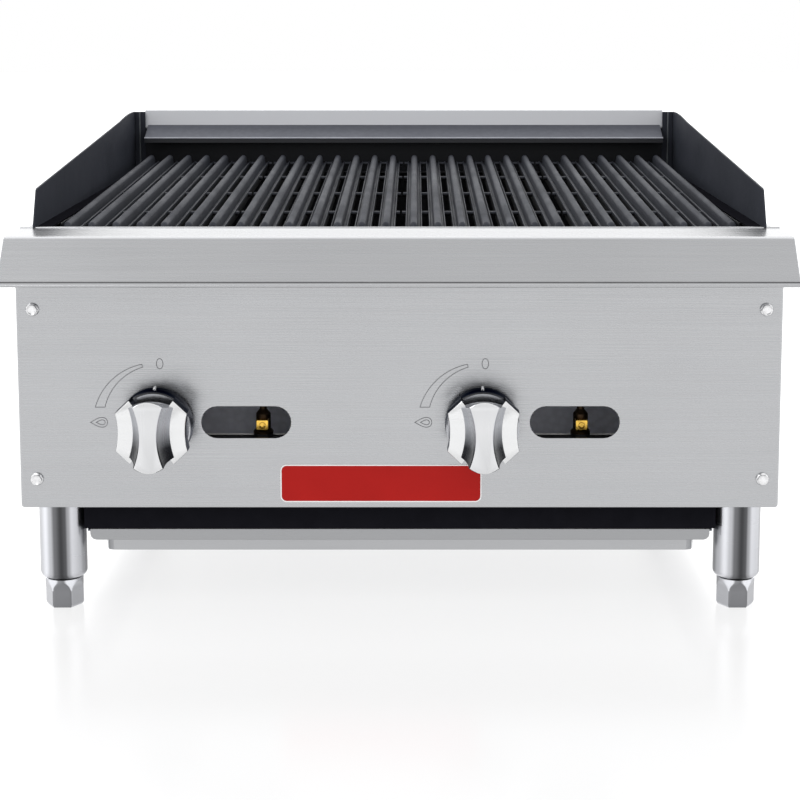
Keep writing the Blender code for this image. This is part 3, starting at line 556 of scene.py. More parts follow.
def make_plain(name, colour, roughness, metallic, darker, scale=60.0, bump=0.00005, gloss=0.5):
    """A machined or painted finish with faint mottling and a fine skin."""
    surface = Surface(name, colour, roughness, metallic, specular_ior_level=gloss)
    mottle = surface.noise(evenly(scale), 3.0)
    skin = surface.noise(evenly(12 * scale), 2.0)
    surface.vary_roughness(mottle, 0.06)
    surface.mix_colour(mottle, shaded(colour, darker))
    surface.bump(skin, 0.25, bump)
    return surface.material


def make_recess(centre_z, half_height=0.028):
    """The knob's side walls with painted shade: satin chrome at the top, painted darker down to black at
    the bottom.
    """
    surface = Surface("knob_recess_painted_shade", (0.44, 0.45, 0.48), 0.30, 1.0)
    height = surface.split(surface.places())["Z"]
    lowness = surface.spread(height, 1.0, 0.0, centre_z - half_height, centre_z + half_height)
    surface.mix_colour(lowness, (0.015, 0.016, 0.020), -0.2, 1.0)
    grain = surface.noise((700.0, 700.0, 20.0), 2.0)
    surface.vary_roughness(grain, 0.06)
    surface.bump(grain, 0.15, 0.00003)
    return surface.material


# Sheet metal and other nodes that keep their CAD shape.


def pair(*names):
    """Each name with both sides after it."""
    return [f"{name}_{side}" for name in names for side in SIDES]


def dress_nodes(steel, sheet, metal, paint):
    """Gives each CAD node that stays its finish, and rounds its edges by a width."""
    firebox = pair("firebox_side") + ["firebox_rear_wall", "radiant_support_front", "rear_support"]
    finishes = (
        (steel["across"], 0.00045, ["front_panel"]),
        (steel["across"], 0.0006, ["bullnose"]),
        (steel["back"], 0.0004, ["back_panel"]),
        (steel["tray"], 0.0004, ["drip_tray"]),
        (steel["along"], 0.0004, pair("side_panel")),
        # On the tray housing the matt black is partly its own black paint, partly painted shade of the gap
        # under the panel.
        (sheet["matt_black"], 0.0004, ["tray_housing"]),
        (sheet["aluminised"], 0.0004, pair("tray_rail") + ["base_pan"]),
        (sheet["sooted"], 0.0004, firebox),
        # The firebox front wall is painted pale as painted light, so it shows bright through the viewing
        # slots.
        (sheet["liner"], 0.0, ["firebox_front_wall"]),
        (sheet["deflector"], 0.0003, ["flue_deflector"]),
        (sheet["aluminised"], 0.0, pair("air_shutter", "pilot_burner")),
        (metal["burner"], 0.0008, [f"radiant_{index}" for index in range(1, 5)]),
        (metal["burner"], 0.0, pair("burner")),
        (metal["pipe"], 0.0, ["manifold"]),
        (metal["brass"], 0.0, pair("valve_body", "valve_plug", "orifice")),
        (metal["tube"], 0.0, pair("pilot_tube")),
        (paint["red"], 0.00025, ["nameplate"]),
    )
    for finish, edge, names in finishes:
        for name in names:
            dress(name, finish, edge)


def dress(name, finish, edge):
    """Gives one CAD node its finish, and rounds its edges if a width is given."""
    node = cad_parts[name]
    for slot in node.material_slots:
        slot.material = finish
    if edge:
        round_edges(node, edge)


# Grates.


def bar_flange():
    """The bar's foot from the front: a channel with a thin lip along each side."""
    right = [
        (0.0055, 0.0),
        (BAR_HALF_WIDTH, 0.0012),
        (BAR_HALF_WIDTH, 0.0086),
        *arc((0.0064, 0.0088), 0.0006, 10.0, 170.0, 4),
        (0.0054, 0.0078),
        (0.0042, 0.0076),
    ]
    return right + [(-x, z) for x, z in reversed(right)]


def bar_ridge(height, half_width, steps=7):
    """The bar's rib from the front: straight sides and a half-round top, standing in the channel."""
    base = 0.0060
    crown = half_width * 0.86
    spring = max(base + 0.001, height - crown)
    right = [(half_width, base), (half_width, base + (spring - base) * 0.45)]
    for step in range(steps + 1):
        angle = math.pi * step / (2 * steps)
        right.append((crown * math.cos(angle), spring + (height - spring) * math.sin(angle)))
    return right + [(-x, z) for x, z in reversed(right[:-1])]


def rib_sections(start, end, nose, tail):
    """Sections along a rib whose ends are rounded down over `nose` and `tail`."""
    shares = (0.0, 0.12, 0.35, 0.65, 1.0)
    places = [(start + nose * share, share) for share in shares]
    places += [(end - tail * share, share) for share in reversed(shares)]
    sections = []
    for y, share in places:
        drop = 1 - math.sqrt(1 - (1 - share) ** 2)
        height = GRATE_HEIGHT - (GRATE_HEIGHT - RIB_FOOT) * drop
        sections.append((bar_ridge(height, RIB_HALF_WIDTH * (1 - 0.35 * drop)), y))
    return sections


def add_bar(mesh, x, length):
    """One bar: its channel, its rib, and the rib's curled front end."""
    flange = bar_flange()
    skin(mesh, [(flange, 0.0), (flange, length)], x)
    skin(mesh, rib_sections(RIB_START, length - 0.001, 0.004, 0.010), x)
    curl = [
        (0.0013, -0.0040),
        (0.0013, 0.0),
        (0.0018, 0.0006),
        (0.0026, 0.0004),
        (0.0030, -0.0006),
        (0.0030, -0.0060),
    ]
    turned(mesh, curl, facing("front", (x, 0.0012, 0.0100)), 20)


def grate_mesh(length, pitch, stub):
    """One grate, lying flat with its front end at y = 0. Broken-off ties stand out at its sides."""
    mesh = bmesh.new()
    half = (BARS - 1) / 2 * pitch
    for index in range(BARS):
        add_bar(mesh, (index - (BARS - 1) / 2) * pitch, length)
    spans = []
    for index in range(BARS - 1):
        spans.append((-half + index * pitch + TIE_INSET, -half + (index + 1) * pitch - TIE_INSET))
    for sign in (-1, 1):
        start = sign * (half + TIE_INSET)
        spans.append((start, start + sign * stub))
    for tie in range(TIES):
        low = tie * (length - TIE_WIDTH) / (TIES - 1) + 0.0018
        outline = rounded_rectangle(low, low + TIE_WIDTH - 0.0036, 0.0050, 0.0087, 0.0012, 3)
        for span in spans:
            extrude(mesh, outline, span)
    return mesh


def build_grates(iron):
    """Four copies of one casting, leaning back like the CAD grates."""
    low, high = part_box(GRATES[0])
    tilt = math.atan((high.z - low.z - GRATE_HEIGHT) / (high.y - low.y))
    length = (high.y - low.y - GRATE_HEIGHT * math.sin(tilt)) / math.cos(tilt)
    pitch = (high.x - low.x - 2 * BAR_HALF_WIDTH) / (BARS - 1)
    stub = (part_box(GRATES[1])[0].x - high.x) / 2 - 0.0004
    casting = finish_mesh("grate_1_casting", grate_mesh(length, pitch, stub), [iron], 40.0)
    for node in GRATES:
        grate = put_in_scene(f"{node}_casting", casting)
        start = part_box(node)[0]
        grate.location = (middle(node).x, start.y + GRATE_HEIGHT * math.sin(tilt), start.z)
        grate.rotation_euler = (tilt, 0.0, 0.0)
        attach(grate, node)
        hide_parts(node)


# Controls.


def wing_outline(scale):
    """The knob's body from the front: hollowed sides, cut corners, and a dip behind the grip."""
    hollow = [(0.0264 + 0.0018 * (step / 5) ** 2, 0.0151 * step / 5) for step in range(6)]
    corner = (0.0174, 0.0254)
    top = [(0.0125, 0.0190), (0.0, 0.0180)]
    quarter = hollow + [corner] + top
    right = [(x, -z) for x, z in reversed(quarter[1:])] + quarter
    left = [(-x, -z) for x, z in right[1:-1]]
    return [(x * scale, z * scale) for x, z in right + left]


def grip_outline(half_middle, half_end, reach, inset=0.0):
    """The finger grip from the front: waisted, with bowed ends."""
    crown = 0.0042
    steps = 10
    right = []
    for step in range(-steps, steps + 1):
        share = step / steps
        width = half_middle + (half_end - half_middle) * share * share
        right.append((width - inset, share * (reach - crown - inset)))
    bow = []
    for step in range(1, 8):
        across = 1 - step / 4
        bow.append(((half_end - inset) * across, reach - inset - crown * across**2))
    left = [(-x, -z) for x, z in right]
    lower = [(-x, -z) for x, z in bow]
    return right + bow + left + lower


def knob_skirt(mesh, place):
    """The round base, from its hub behind the panel to its front edge."""
    profile = [
        (0.0040, -0.0225),
        (0.0040, 0.0045),
        (0.0284, 0.0045),
        *arc((0.0286, 0.0055), 0.0010, -90.0, 0.0, 4),
        (0.0296, 0.0080),
        (0.0291, 0.0090),
        (0.0290, 0.0235),
        (0.0280, 0.0245),
    ]
    for face in turned(mesh, profile, place, SMOOTH_SIDES):
        face.material_index = SKIRT


def knob_body(mesh, place):
    """The winged body. Its side walls take the skirt's painted shade, its front is chrome."""
    outlines = [
        (wing_outline(0.93), 0.0180),
        (wing_outline(0.985), 0.0205),
        (wing_outline(1.0), 0.0235),
        (wing_outline(1.0), KNOB_FACE - 0.0010),
        (wing_outline(0.992), KNOB_FACE - 0.0004),
        (wing_outline(0.972), KNOB_FACE),
    ]
    for face in stack(mesh, outlines, place)[1:]:
        face.normal_update()
        if abs(face.normal.y) < 0.5:
            face.material_index = SKIRT


def knob_grip(mesh, place, reach):
    """The waisted grip, which flares into the body at its foot. Its hollow side walls carry painted shade.
    """
    outlines = [(grip_outline(0.0152, 0.0182, GRIP_BASE_REACH), KNOB_FACE - 0.003)]
    for share in (0.0, 0.08, 0.18, 0.32, 0.48, 0.66, 0.84, 0.95):
        flare = (1 - share) ** 2.2
        half_middle = GRIP_WAIST + 0.0070 * flare
        half_end = GRIP_END + 0.0058 * flare
        tall = GRIP_BASE_REACH + (GRIP_REACH - GRIP_BASE_REACH) * share
        height = KNOB_FACE + (reach - KNOB_FACE) * share
        outlines.append((grip_outline(half_middle, half_end, tall), height))
    for inset, drop in ((0.0001, 0.0007), (0.0004, 0.0002), (0.0009, 0.0)):
        outlines.append((grip_outline(GRIP_WAIST, GRIP_END, GRIP_REACH, inset), reach - drop))
    faces = stack(mesh, outlines, place)
    faces[1].material_index = SATIN
    for wall in faces[2:]:
        wall.normal_update()
        if abs(wall.normal.x) > 0.25 and abs(wall.normal.y) < 0.97:
            wall.material_index = RECESS


def build_knob(side, surfaces, peg):
    """A round skirt, a winged body and a finger grip in one piece, with a pointer peg on top."""
    node = f"knob_{side}"
    axis = middle(f"valve_plug_{side}")
    centre = Vector((axis.x, PANEL_Y, axis.z))
    place = facing("front", centre)
    mesh = bmesh.new()
    knob_skirt(mesh, place)
    knob_body(mesh, place)
    knob_grip(mesh, place, PANEL_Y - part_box(node)[0].y)
    add_piece(f"{node}_turned", mesh, surfaces, node, [node], 35.0)

    pointer = bmesh.new()
    stem = rounded_rectangle(-0.0011, 0.0011, -0.0035, 0.0035, 0.0009, 3)
    tip = [(x * 0.75, z * 0.86) for x, z in stem]
    spot = facing("up", centre + Vector((0.0, -0.0125, 0.0283)))
    stack(pointer, [(stem, 0.0), (stem, 0.0024), (tip, 0.0031)], spot)
    add_piece(f"{node}_pointer", pointer, [peg], node)


def offset_loop(points, distance):
    """A closed outline moved sideways by a distance, mitred at its corners."""
    moved = []
    count = len(points)
    for index, point in enumerate(points):
        before = (Vector(point) - Vector(points[index - 1])).normalized()
        after = (Vector(points[(index + 1) % count]) - Vector(point)).normalized()
        along = (before + after).normalized()
        normal = Vector((-along.y, along.x))
        square = Vector((-before.y, before.x))
        moved.append(tuple(Vector(point) + normal * distance / max(0.4, normal.dot(square))))
    return moved


def ring_on_panel(mesh, outline, width, proud):
    """A raised line along a closed outline, on the face of the front panel."""
    outer = offset_loop(outline, width / 2)
    inner = offset_loop(outline, -width / 2)
    foot = PANEL_Y - 0.00002
    crest = PANEL_Y - proud
    skin(mesh, [(outer, foot), (outer, crest), (inner, crest), (inner, foot)], ring=True)


def dial_wedge(steps=24):
    """A wedge bent round the knob, that widens from off to full."""
    start, end = 104.0, 166.0
    outer = []
    inner = []
    for step in range(steps + 1):
        share = step / steps
        angle = math.radians(start + (end - start) * share)
        for edge, radius in ((outer, 0.0487 + 0.0025 * share), (inner, 0.0463 - 0.0027 * share)):
            edge.append((radius * math.cos(angle), radius * math.sin(angle)))
    square_end = (inner[-1][0], outer[-1][1])
    return outer + [square_end] + inner[-2::-1]


def dial_flame(steps=40):
    """A drop lying on its side, with its point away from the knob."""
    flame = []
    for step in range(steps):
        angle = 2 * math.pi * step / steps
        width = 0.0054 * math.sin(angle) * (0.5 - 0.5 * math.cos(angle)) ** 0.6
        flame.append((-0.04695 - 0.00675 * math.cos(angle), width))
    return flame


def build_dial(side, ink):
    """The marks round a knob: a zero, a wedge that widens with the flow, and a flame."""
    axis = middle(f"valve_plug_{side}")
    flame = dial_flame()
    core_x = -0.0442
    marks = {
        "zero": [(0.0025 + x, 0.0477 + z * 1.6) for x, z in circle(0.0026, 32)],
        "wedge": dial_wedge(),
        "flame": flame,
        "flame_core": [(core_x + (x - core_x) * 0.52, z * 0.5) for x, z in flame],
    }
    for name, outline in marks.items():
        mesh = bmesh.new()
        ring_on_panel(mesh, [(axis.x + x, axis.z + z) for x, z in outline], PRINT_WIDTH, PRINT_PROUD)
        add_piece(f"dial_{name}_{side}", mesh, [ink])


def build_nameplate_rim(white):
    """A light border that stands as proud of the panel as it is wide."""
    low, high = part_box("nameplate")
    half = RIM_WIDTH / 2
    outline = rounded_rectangle(low.x - half, high.x + half, low.z - half, high.z + half, 0.0045, 8)
    mesh = bmesh.new()
    ring_on_panel(mesh, outline, RIM_WIDTH, RIM_WIDTH)
    add_piece("nameplate_rim", mesh, [white])


def build_screws(bright):
    """Hexagon screws with a flange, dished on top."""
    sides = 72
    shank = circle(0.0018, sides)
    flange = 0.00535
    head = hexagon_in_circle(0.0040, 0.0046, sides)
    chamfer = hexagon_in_circle(0.0039, 0.0041, sides)
    outlines = [
        (shank, -0.010),
        (shank, 0.0003),
        (circle(flange - 0.0004, sides), 0.0003),
        (circle(flange, sides), 0.0007),
        (circle(flange - 0.0003, sides), 0.0012),
        (circle(0.0048, sides), 0.0015),
        (head, 0.0019),
        (head, 0.0042),
        (chamfer, 0.0047),
        (circle(0.0034, sides), 0.0048),
        (circle(0.0026, sides), 0.0044),
    ]
    for level in ("upper", "lower"):
        for side in SIDES:
            node = f"panel_screw_{level}_{side}"
            centre = middle(node)
            mesh = bmesh.new()
            stack(mesh, outlines, facing("front", (centre.x, PANEL_Y, centre.z)))
            add_piece(f"{node}_head", mesh, [bright], CABINET, [node], 25.0)


def add_rivets(name, bright, direction, places):
    """Domed rivets at a list of places, as one piece."""
    dome = [(0.0010, -0.0006), (0.0030, -0.0006), (0.0030, 0.0002), (0.0026, 0.0008), (0.0014, 0.0013)]
    mesh = bmesh.new()
    for place in places:
        turned(mesh, dome, facing(direction, place), 20)
    add_piece(name, mesh, [bright], CABINET)


def build_rivets(bright):
    """Rivets along the edges of the side panels and of the back."""
    inset = 0.012
    corner_inset = 0.018
    low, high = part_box("side_panel_right")
    half_way = (low.z + high.z) / 2
    levels = (low.z + corner_inset, half_way, high.z - corner_inset)
    rows = (low.y + inset, high.y - inset)
    for side in SIDES:
        panel_low, panel_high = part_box(f"side_panel_{side}")
        face = panel_low.x if side == "left" else panel_high.x
        add_rivets(f"side_rivets_{side}", bright, side, [(face, y, z) for y in rows for z in levels])

    back_low, back_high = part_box("back_panel")
    reach = back_high.x - inset
    ends = (back_low.z + inset, high.z - inset)
    columns = {-reach: (*ends, half_way), -reach / 3: ends, reach / 3: ends, reach: (*ends, half_way)}
    places = [(x, back_high.y, z) for x, heights in columns.items() for z in heights]
    add_rivets("back_rivets", bright, "back", places)


# Legs and feet.


def build_leg(end, side, steel):
    """A tube with a rounded lower end, hollow where the foot screws in."""
    node = f"leg_{end}_{side}"
    low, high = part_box(node)
    centre = middle(node)
    radius = (high.x - low.x) / 2
    shoulder = 0.0055
    bore = 0.0065
    floor = low.z
    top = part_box("base_pan")[0].z - GAP
    profile = [
        (0.0050, top + 0.004),
        (0.0050, top),
        (radius - 0.0006, top),
        (radius, top - 0.0006),
        *arc((radius - shoulder, floor + shoulder), shoulder, 0.0, -62.0, 8),
        (radius - 0.0044, floor + 0.0005),
        (radius - 0.0049, floor),
        (bore, floor),
        (bore, floor + 0.040),
    ]
    mesh = bmesh.new()
    turned(mesh, profile, facing("up", (centre.x, centre.y, 0.0)), SMOOTH_SIDES)
    add_piece(f"{node}_tube", mesh, [steel], CABINET, [node], 35.0)


def build_foot(end, side, steel):
    """A foot turned from bar, with six flats whose upper ends run out in curves."""
    node = f"foot_{end}_{side}"
    centre = middle(node)
    radius = 0.0155
    flats = 0.0135
    run_out = 0.0135
    cutter_radius = 0.014
    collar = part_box(f"leg_{end}_{side}")[0].z - GAP
    sides = SMOOTH_SIDES

    def milled(rise, inset=0.0):
        """The outline at a height above the start of the run-out."""
        cut = flats + rise**2 / (2 * cutter_radius)
        return [(x * (1 - inset), y * (1 - inset)) for x, y in hexagon_in_circle(cut, radius, sides)]

    screw = circle(0.0060, sides)
    outlines = [
        (screw, 0.060),
        (screw, collar),
        (circle(radius - 0.0004, sides), collar),
        (circle(radius, sides), collar - 0.0004),
    ]
    for rise in (0.0084, 0.0075, 0.0065, 0.0055, 0.0045, 0.0035, 0.0025, 0.0):
        outlines.append((milled(rise), run_out + rise))
    outlines += [(milled(0.0), 0.0026), (milled(0.0, 0.03), 0.0012), (milled(0.0, 0.09), 0.0)]
    mesh = bmesh.new()
    stack(mesh, outlines, facing("up", (centre.x, centre.y, 0.0)))
    add_piece(f"{node}_turned", mesh, [steel], node, [node], 25.0)


# Behind the viewing slots.


def build_pilot_valve(side, shaded_brass, brass):
    """The turned valve body, brass painted dark as shade, and the bright block with its adjusting screw in
    front.
    """
    node = f"pilot_valve_{side}"
    low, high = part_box(node)
    x = middle(node).x
    profile = [
        (0.0052, low.z),
        (0.0082, low.z),
        (0.0082, 0.1440),
        (0.0074, 0.1450),
        (0.0060, 0.1462),
        (0.0060, 0.1585),
        (0.0050, 0.1600),
        (0.0030, 0.1625),
        (0.0030, high.z),
    ]
    body = bmesh.new()
    turned(body, profile, facing("up", (x, middle("manifold").y, 0.0)), 48)
    add_piece(f"{node}_body", body, [shaded_brass], CABINET, [node], 30.0)

    half = 0.0050
    bottom, top = 0.1470, 0.1555
    chamfer = 0.0004
    outline = rounded_rectangle(x - half, x + half, bottom, top, 0.0008, 3)
    rim = (x - half + chamfer, x + half - chamfer, bottom + chamfer, top - chamfer)
    inner = rounded_rectangle(*rim, 0.0006, 3)
    front = low.y + 0.0010
    port = bmesh.new()
    skin(port, [(outline, front + 0.0105), (outline, front + chamfer), (inner, front)])
    screw = [(0.0027, -0.0008), (0.0027, 0.0003), (0.0024, 0.0008), (0.0016, 0.0010), (0.0014, 0.0006)]
    turned(port, screw, facing("front", (x, front + 0.0001, 0.1510)), 40)
    add_piece(f"pilot_port_{side}", port, [brass], CABINET)


# The gas pipe that comes out at the back.


def build_inlet_pipe(black):
    """The inlet pipe, smooth round its bend, with a tapered thread on its free end."""
    node = "gas_inlet_pipe"
    low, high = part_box(node)
    radius = (high.z - low.z) / 2
    bore = radius - 0.00285
    axis_z = (high.z + low.z) / 2
    bend = 0.020
    bend_steps = 12
    end_x = high.x - radius
    start_y = low.y + radius
    path = [((low.x, start_y), 0.0)]
    for step in range(bend_steps + 1):
        turn = math.pi / 2 * step / bend_steps
        path.append(((end_x - bend * (1 - math.sin(turn)), start_y + bend * (1 - math.cos(turn))), turn))

    def section(place, size):
        """A circle across the pipe, at a place given as ((x, y), turn)."""
        (x, y), turn = place
        loop = []
        for across, up in circle(size, 40):
            loop.append(Vector((x - across * math.sin(turn), y + across * math.cos(turn), axis_z + up)))
        return loop

    def straight(y, size):
        return section(((end_x, y), math.pi / 2), size)

    thread_length = 0.018
    pitch = 0.0018
    turns = int(thread_length / pitch)
    thread_start = high.y - thread_length
    loops = [section(place, radius) for place in path]
    loops.append(straight(thread_start - 0.0006, radius))
    for index in range(turns):
        y = thread_start + index * pitch
        taper = 0.0004 * index / turns
        loops.append(straight(y, radius - 0.0010 - taper))
        loops.append(straight(y + pitch / 2, radius - 0.0001 - taper))
    loops += [straight(high.y, radius - 0.0012), straight(high.y, bore)]
    loops += [section(place, bore) for place in reversed(path)]
    mesh = bmesh.new()
    loft(mesh, loops, ring=True)
    add_piece(f"{node}_threaded", mesh, [black], CABINET, [node], 25.0)


# Side guards.


def guard_outline(low, high):
    """The sheet from the side: it hooks over the ledge, slants up and bows back to the flange."""
    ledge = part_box("bullnose")[1]
    ledge_back = ledge.y + 2 * GAP
    ledge_top = ledge.z + GAP
    rise = high.z - ledge_top
    crown_start = high.y - 0.026
    crown = [(crown_start - 0.082 * t, high.z - 0.0052 * t**1.6) for t in (0.0, 0.25, 0.5, 0.75, 1.0)]
    return [
        (low.y, ledge_top),
        (ledge_back, ledge_top),
        (ledge_back, low.z),
        (high.y, low.z),
        (high.y, high.z - 0.0002),
        *crown,
        (low.y + 0.019, ledge_top + 0.475 * rise),
        (low.y + 0.016, ledge_top + 0.455 * rise),
    ]


def build_guard(side, sign, enamel, matt_black, edge_highlight):
    """A side guard: an upright sheet with a foot turned in, and a stepped flange across the back."""
    node = f"splash_{side}"
    low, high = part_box(node)
    gauge = 0.0015
    outer_x = high.x if sign > 0 else low.x
    inner_x = low.x if sign > 0 else high.x
    sheet_x = outer_x - sign * gauge
    hem_x = inner_x + sign * 0.0062
    mesh = bmesh.new()
    extrude(mesh, guard_outline(low, high), sorted((outer_x, sheet_x)))
    top = high.z - 0.0004
    foot = (low.z + 0.0001, low.z + gauge)
    upright = (foot[1], top)
    foot_y = (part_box("bullnose")[1].y + 0.0016, high.y - 0.0005)
    for face in block(mesh, sorted((inner_x, sheet_x)), foot_y, foot):
        face.material_index = 1
    block(mesh, sorted((hem_x, sheet_x)), (high.y - 2.2 * gauge, high.y - 1.1 * gauge), upright)
    block(mesh, sorted((inner_x, sheet_x)), (high.y - gauge, high.y), upright)
    guard = add_piece(f"{node}_sheet", mesh, [enamel, matt_black], CABINET, [node])
    edge = guard.modifiers.new("Bevel", "BEVEL")
    edge.width = 0.0004
    edge.segments = 2
    edge.limit_method = "ANGLE"
    shade(guard)

    # A rolled hem on the flange's inner edge, painted lighter than the enamel as a painted highlight.
    hem = bmesh.new()
    hem_place = facing("up", (hem_x, high.y - 1.6 * gauge, 0.0))
    turned(hem, [(0.0010, foot[1]), (0.0010, top)], hem_place, 16)
    add_piece(f"{node}_hem", hem, [edge_highlight], CABINET)


# Lines across the grill.


def bead(name, outline, ends, finish):
    """A fine line of metal across the grill, from an outline of (y, z) points."""
    mesh = bmesh.new()
    extrude(mesh, outline, ends)
    add_piece(name, mesh, [finish], CABINET)


def build_ledge_beads(steel, seam):
    """The ledge's rounded hem and lip, and a dark strip along its sloping face, the painted shadow of the
    fold above the lip.
    """
    low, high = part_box("bullnose")
    ends = (low.x, high.x)
    bead("ledge_hem", arc((high.y - 0.0010, high.z - 0.0002), 0.0011, 0.0, 180.0, 8), ends, steel)
    bead("ledge_lip", arc((low.y + 0.0006, low.z + 0.0013), 0.0010, 90.0, 270.0, 8), ends, steel)
    slope = math.radians(LEDGE_SLOPE)
    along = Vector((math.cos(slope), math.sin(slope)))
    proud = 0.00015 * Vector((-along.y, along.x))
    start = Vector((low.y, low.z + LEDGE_LIP))
    end = start + 0.0013 * along
    # Painted shadow: a dark strip just above the lip.
    bead("ledge_seam_shadow", [start + proud, end + proud, end - proud, start - proud], ends, seam)


def build_slot_ribs(white):
    """A white rib low behind each viewing slot, a painted highlight for the light line seen there."""
    rib = circle(0.0009, 12, (PANEL_Y + SLOT_RIB_DEPTH, SLOT_RIB_Z))
    for side, x in SLOT_X.items():
        bead(f"slot_highlight_rib_{side}", rib, (x - SLOT_RIB_HALF_LENGTH, x + SLOT_RIB_HALF_LENGTH), white)


def build_deflector_beads(edge_highlight, sooted):
    """The flue deflector's fold, painted light as a highlight, and the dark lip below it."""
    low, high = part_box("flue_deflector")
    fold_z = high.z - DEFLECTOR_DROP
    fold = circle(0.0010, 12, (low.y + 0.0006, fold_z))
    bead("deflector_fold", fold, (low.x, high.x), edge_highlight)
    lip = rectangle(low.y - 0.0003, low.y + 0.0003, low.z + 0.0002, fold_z - 0.0009)
    bead("deflector_lip", lip, (low.x + 0.0004, high.x - 0.0004), sooted)


# Stage.


def build_floor():
    """A wide table top that glows, so that it stays white under the grill's sky."""
    floor = Surface("studio_floor", (0.20, 0.20, 0.201), 0.20, 0.0, specular_ior_level=0.35)
    floor.set("Emission Color", (1.0, 1.0, 1.0, 1.0))
    floor.set("Emission Strength", 0.70)
    grain = floor.noise(evenly(60.0), 2.0)
    floor.vary_roughness(grain, 0.02)
    mesh = bmesh.new()
    turned(mesh, [(FLOOR_RADIUS, -0.02), (FLOOR_RADIUS, 0.0)], TURNS["up"], SMOOTH_SIDES)
    made = put_in_scene("studio_floor", finish_mesh("studio_floor", mesh, [floor.material]))


def build_world():
    """White to the camera. For lighting, a soft sky in bands, brighter behind the grill."""
    world = bpy.data.worlds.new("studio")
    bpy.context.scene.world = world
    world.use_nodes = True
    nodes, links = world.node_tree.nodes, world.node_tree.links
    nodes.clear()
    output = nodes.new("ShaderNodeOutputWorld")
    mix = nodes.new("ShaderNodeMixShader")
    white = nodes.new("ShaderNodeBackground")
    sky = nodes.new("ShaderNodeBackground")
    coordinates = nodes.new("ShaderNodeTexCoord")
    split = nodes.new("ShaderNodeSeparateXYZ")
    ramp = nodes.new("ShaderNodeValToRGB")
    behind = nodes.new("ShaderNodeMapRange")
    light_path = nodes.new("ShaderNodeLightPath")
    links.new(coordinates.outputs["Generated"], split.inputs["Vector"])
    links.new(split.outputs["Z"], ramp.inputs["Fac"])
    fill_ramp(ramp, [(height, grey / SKY_STRENGTH) for height, grey in SKY_BANDS])
    behind.inputs["From Min"].default_value = -SKY_BLEND
    behind.inputs["From Max"].default_value = SKY_BLEND
    behind.inputs["To Min"].default_value = SKY_FRONT_SHARE * SKY_STRENGTH
    behind.inputs["To Max"].default_value = SKY_STRENGTH
    links.new(split.outputs["Y"], behind.inputs["Value"])
    links.new(behind.outputs["Result"], sky.inputs["Strength"])
    links.new(ramp.outputs["Color"], sky.inputs["Color"])
    white.inputs["Color"].default_value = (1.0, 1.0, 1.0, 1.0)
    links.new(light_path.outputs["Is Camera Ray"], mix.inputs["Fac"])
    links.new(sky.outputs["Background"], mix.inputs[1])
    links.new(white.outputs["Background"], mix.inputs[2])
    links.new(mix.outputs["Shader"], output.inputs["Surface"])


def build_light():
    data = bpy.data.lights.new("key_box", "AREA")
    data.shape = "RECTANGLE"
    data.size = KEY_SIZE
    data.size_y = KEY_SIZE
    data.energy = KEY_POWER
    light = put_in_scene("key_box", data)
    light.location = KEY_PLACE
    light.rotation_euler = (Vector(KEY_TARGET) - Vector(KEY_PLACE)).to_track_quat("-Z", "Y").to_euler()
    light.visible_camera = False


def build_camera():
    data = bpy.data.cameras.new("camera")
    data.lens = CAMERA_LENS
    data.sensor_width = 36.0
    data.shift_x, data.shift_y = CAMERA_SHIFT
    camera = put_in_scene("camera", data)
    camera.location = CAMERA_PLACE
    camera.rotation_euler = (math.radians(CAMERA_PITCH), 0.0, 0.0)
    bpy.context.scene.camera = camera


def build_stage():
    """White floor and sky, one soft light, and the camera."""
    build_floor()
    build_world()
    build_light()
    build_camera()
    bpy.context.scene.view_settings.view_transform = "Standard"


def make_steels():
    """Stainless by grain or use."""
    colour = (0.448, 0.453, 0.465)
    return {
        "across": brushed("steel_brushed_across", colour, 0.27, "X").material,
        "along": brushed("steel_brushed_along", colour, 0.30, "Y").material,
        "back": make_back_steel(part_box("back_panel")[0].y),
        "tray": make_tray_steel(colour),
        "leg": make_turned_steel("leg_steel", LEG_PAINTED_REFLECTION),
        "foot": make_turned_steel("foot_steel", FOOT_PAINTED_REFLECTION),
    }


def make_sheets():
    """Coated and blackened sheets."""
    return {
        "enamel": make_black_enamel(),
        "aluminised": make_sheet("aluminised_finish", (0.23, 0.24, 0.27), 0.9),
        "sooted": make_sheet("sooted_liner", (0.008, 0.009, 0.013), 0.0),
        # Painted light: a pale liner that stands in for light seen through the slots.
        "liner": make_sheet("front_liner_painted_light", (0.84, 0.86, 0.97), 0.0),
        "deflector": make_sheet("deflector_sheet", (0.085, 0.090, 0.108), 0.8),
        # Matt black with no gloss. On the tray housing it is partly painted shade.
        "matt_black": make_plain("matt_black_finish", (0.010, 0.010, 0.013), 0.6, 0.0, 0.8, gloss=0.0),
    }


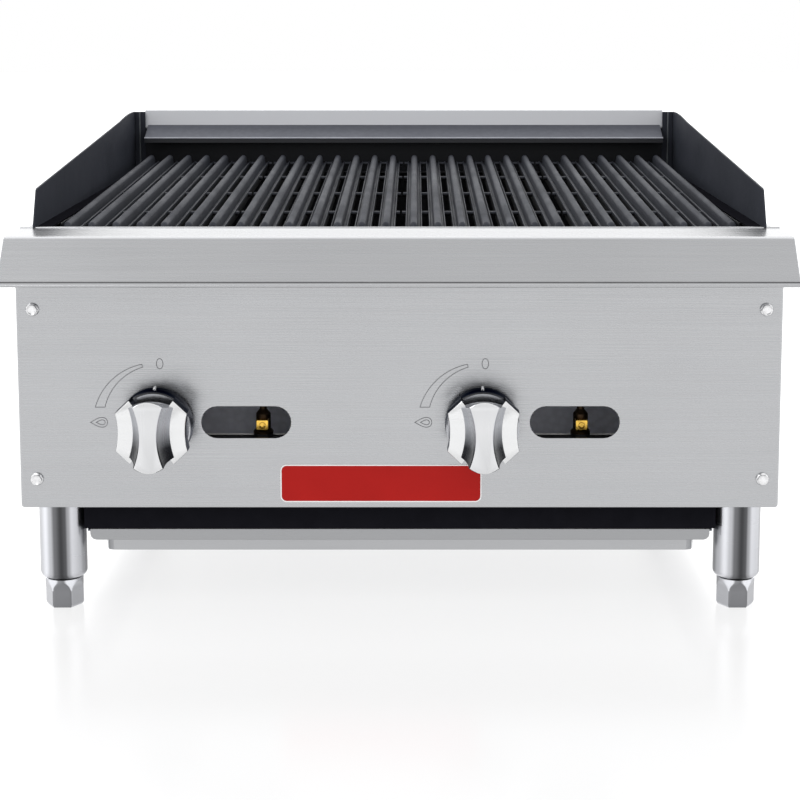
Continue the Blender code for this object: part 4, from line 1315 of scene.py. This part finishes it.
def make_metals():
    """Cast, plated and plain metals."""
    return {
        "iron": make_cast_iron("grate_iron", (0.027, 0.030, 0.040), GRATE_SHADE_BELOW),
        "burner": make_cast_iron("burner_iron", (0.007, 0.007, 0.008)),
        "pipe": make_plain("pipe_iron", (0.016, 0.016, 0.018), 0.48, 0.3, 0.6, 80.0),
        "plated": make_plain("screw_plating", (0.80, 0.80, 0.81), 0.18, 1.0, 0.85, 300.0, 0.00002),
        "brass": make_plain("bright_brass", (0.92, 0.58, 0.11), 0.22, 1.0, 0.75, 200.0, 0.00003),
        # Painted shade: brass darkened for the shade it sits in.
        "shaded_brass": make_plain("brass_painted_shade", (0.060, 0.038, 0.022), 0.42, 0.9, 0.6, 120.0),
        "tube": make_plain("tube_aluminium", (0.70, 0.71, 0.72), 0.34, 1.0, 0.85, 90.0),
        # Painted highlight on the deflector's fold.
        "edge": make_plain("fold_painted_highlight", (0.34, 0.35, 0.39), 0.45, 0.3, 0.8),
        # Painted shadow for the ledge's fold.
        "seam": make_plain("seam_painted_shadow", (0.10, 0.10, 0.105), 0.5, 0.4, 0.8),
    }


def make_paints():
    """Paint, enamel and print."""
    return {
        # Painted highlight on the guards' hems.
        "guard_edge_highlight": make_plain("enamel_edge_highlight", (0.10, 0.11, 0.12), 0.4, 0.0, 0.8),
        "red": make_plain("red_enamel_finish", (0.40, 0.010, 0.008), 0.45, 0.0, 0.93, 30.0, 0.00002, 0.12),
        "white": make_plain("white_paint", (0.85, 0.84, 0.84), 0.45, 0.0, 0.95, 60.0),
        "ink": make_plain("dial_ink", (0.13, 0.13, 0.14), 0.5, 0.0, 0.85, 200.0),
    }


def knob_surfaces():
    """The knob's finishes: plain chrome, then RECESS and SKIRT with painted shade, and SATIN."""
    return [
        brushed("knob_chrome", (0.74, 0.745, 0.75), 0.24, "X", 0.00001).material,
        make_recess(middle("valve_plug_left").z),
        make_skirt_chrome(),
        brushed("knob_grip_satin", (0.69, 0.695, 0.705), 0.30, "Z", 0.00001).material,
    ]


def main():
    steel = make_steels()
    sheet = make_sheets()
    metal = make_metals()
    paint = make_paints()
    dress_nodes(steel, sheet, metal, paint)
    build_grates(metal["iron"])
    knob_finishes = knob_surfaces()
    for side, sign in zip(SIDES, (-1, 1)):
        build_guard(side, sign, sheet["enamel"], sheet["matt_black"], paint["guard_edge_highlight"])
        build_knob(side, knob_finishes, metal["plated"])
        build_dial(side, paint["ink"])
        build_pilot_valve(side, metal["shaded_brass"], metal["brass"])
        for end in ("front", "rear"):
            build_leg(end, side, steel["leg"])
            build_foot(end, side, steel["foot"])
    build_nameplate_rim(paint["white"])
    build_screws(metal["plated"])
    build_rivets(metal["plated"])
    build_inlet_pipe(metal["pipe"])
    build_ledge_beads(steel["across"], metal["seam"])
    build_slot_ribs(paint["white"])
    build_deflector_beads(metal["edge"], sheet["sooted"])
    build_stage()


main()
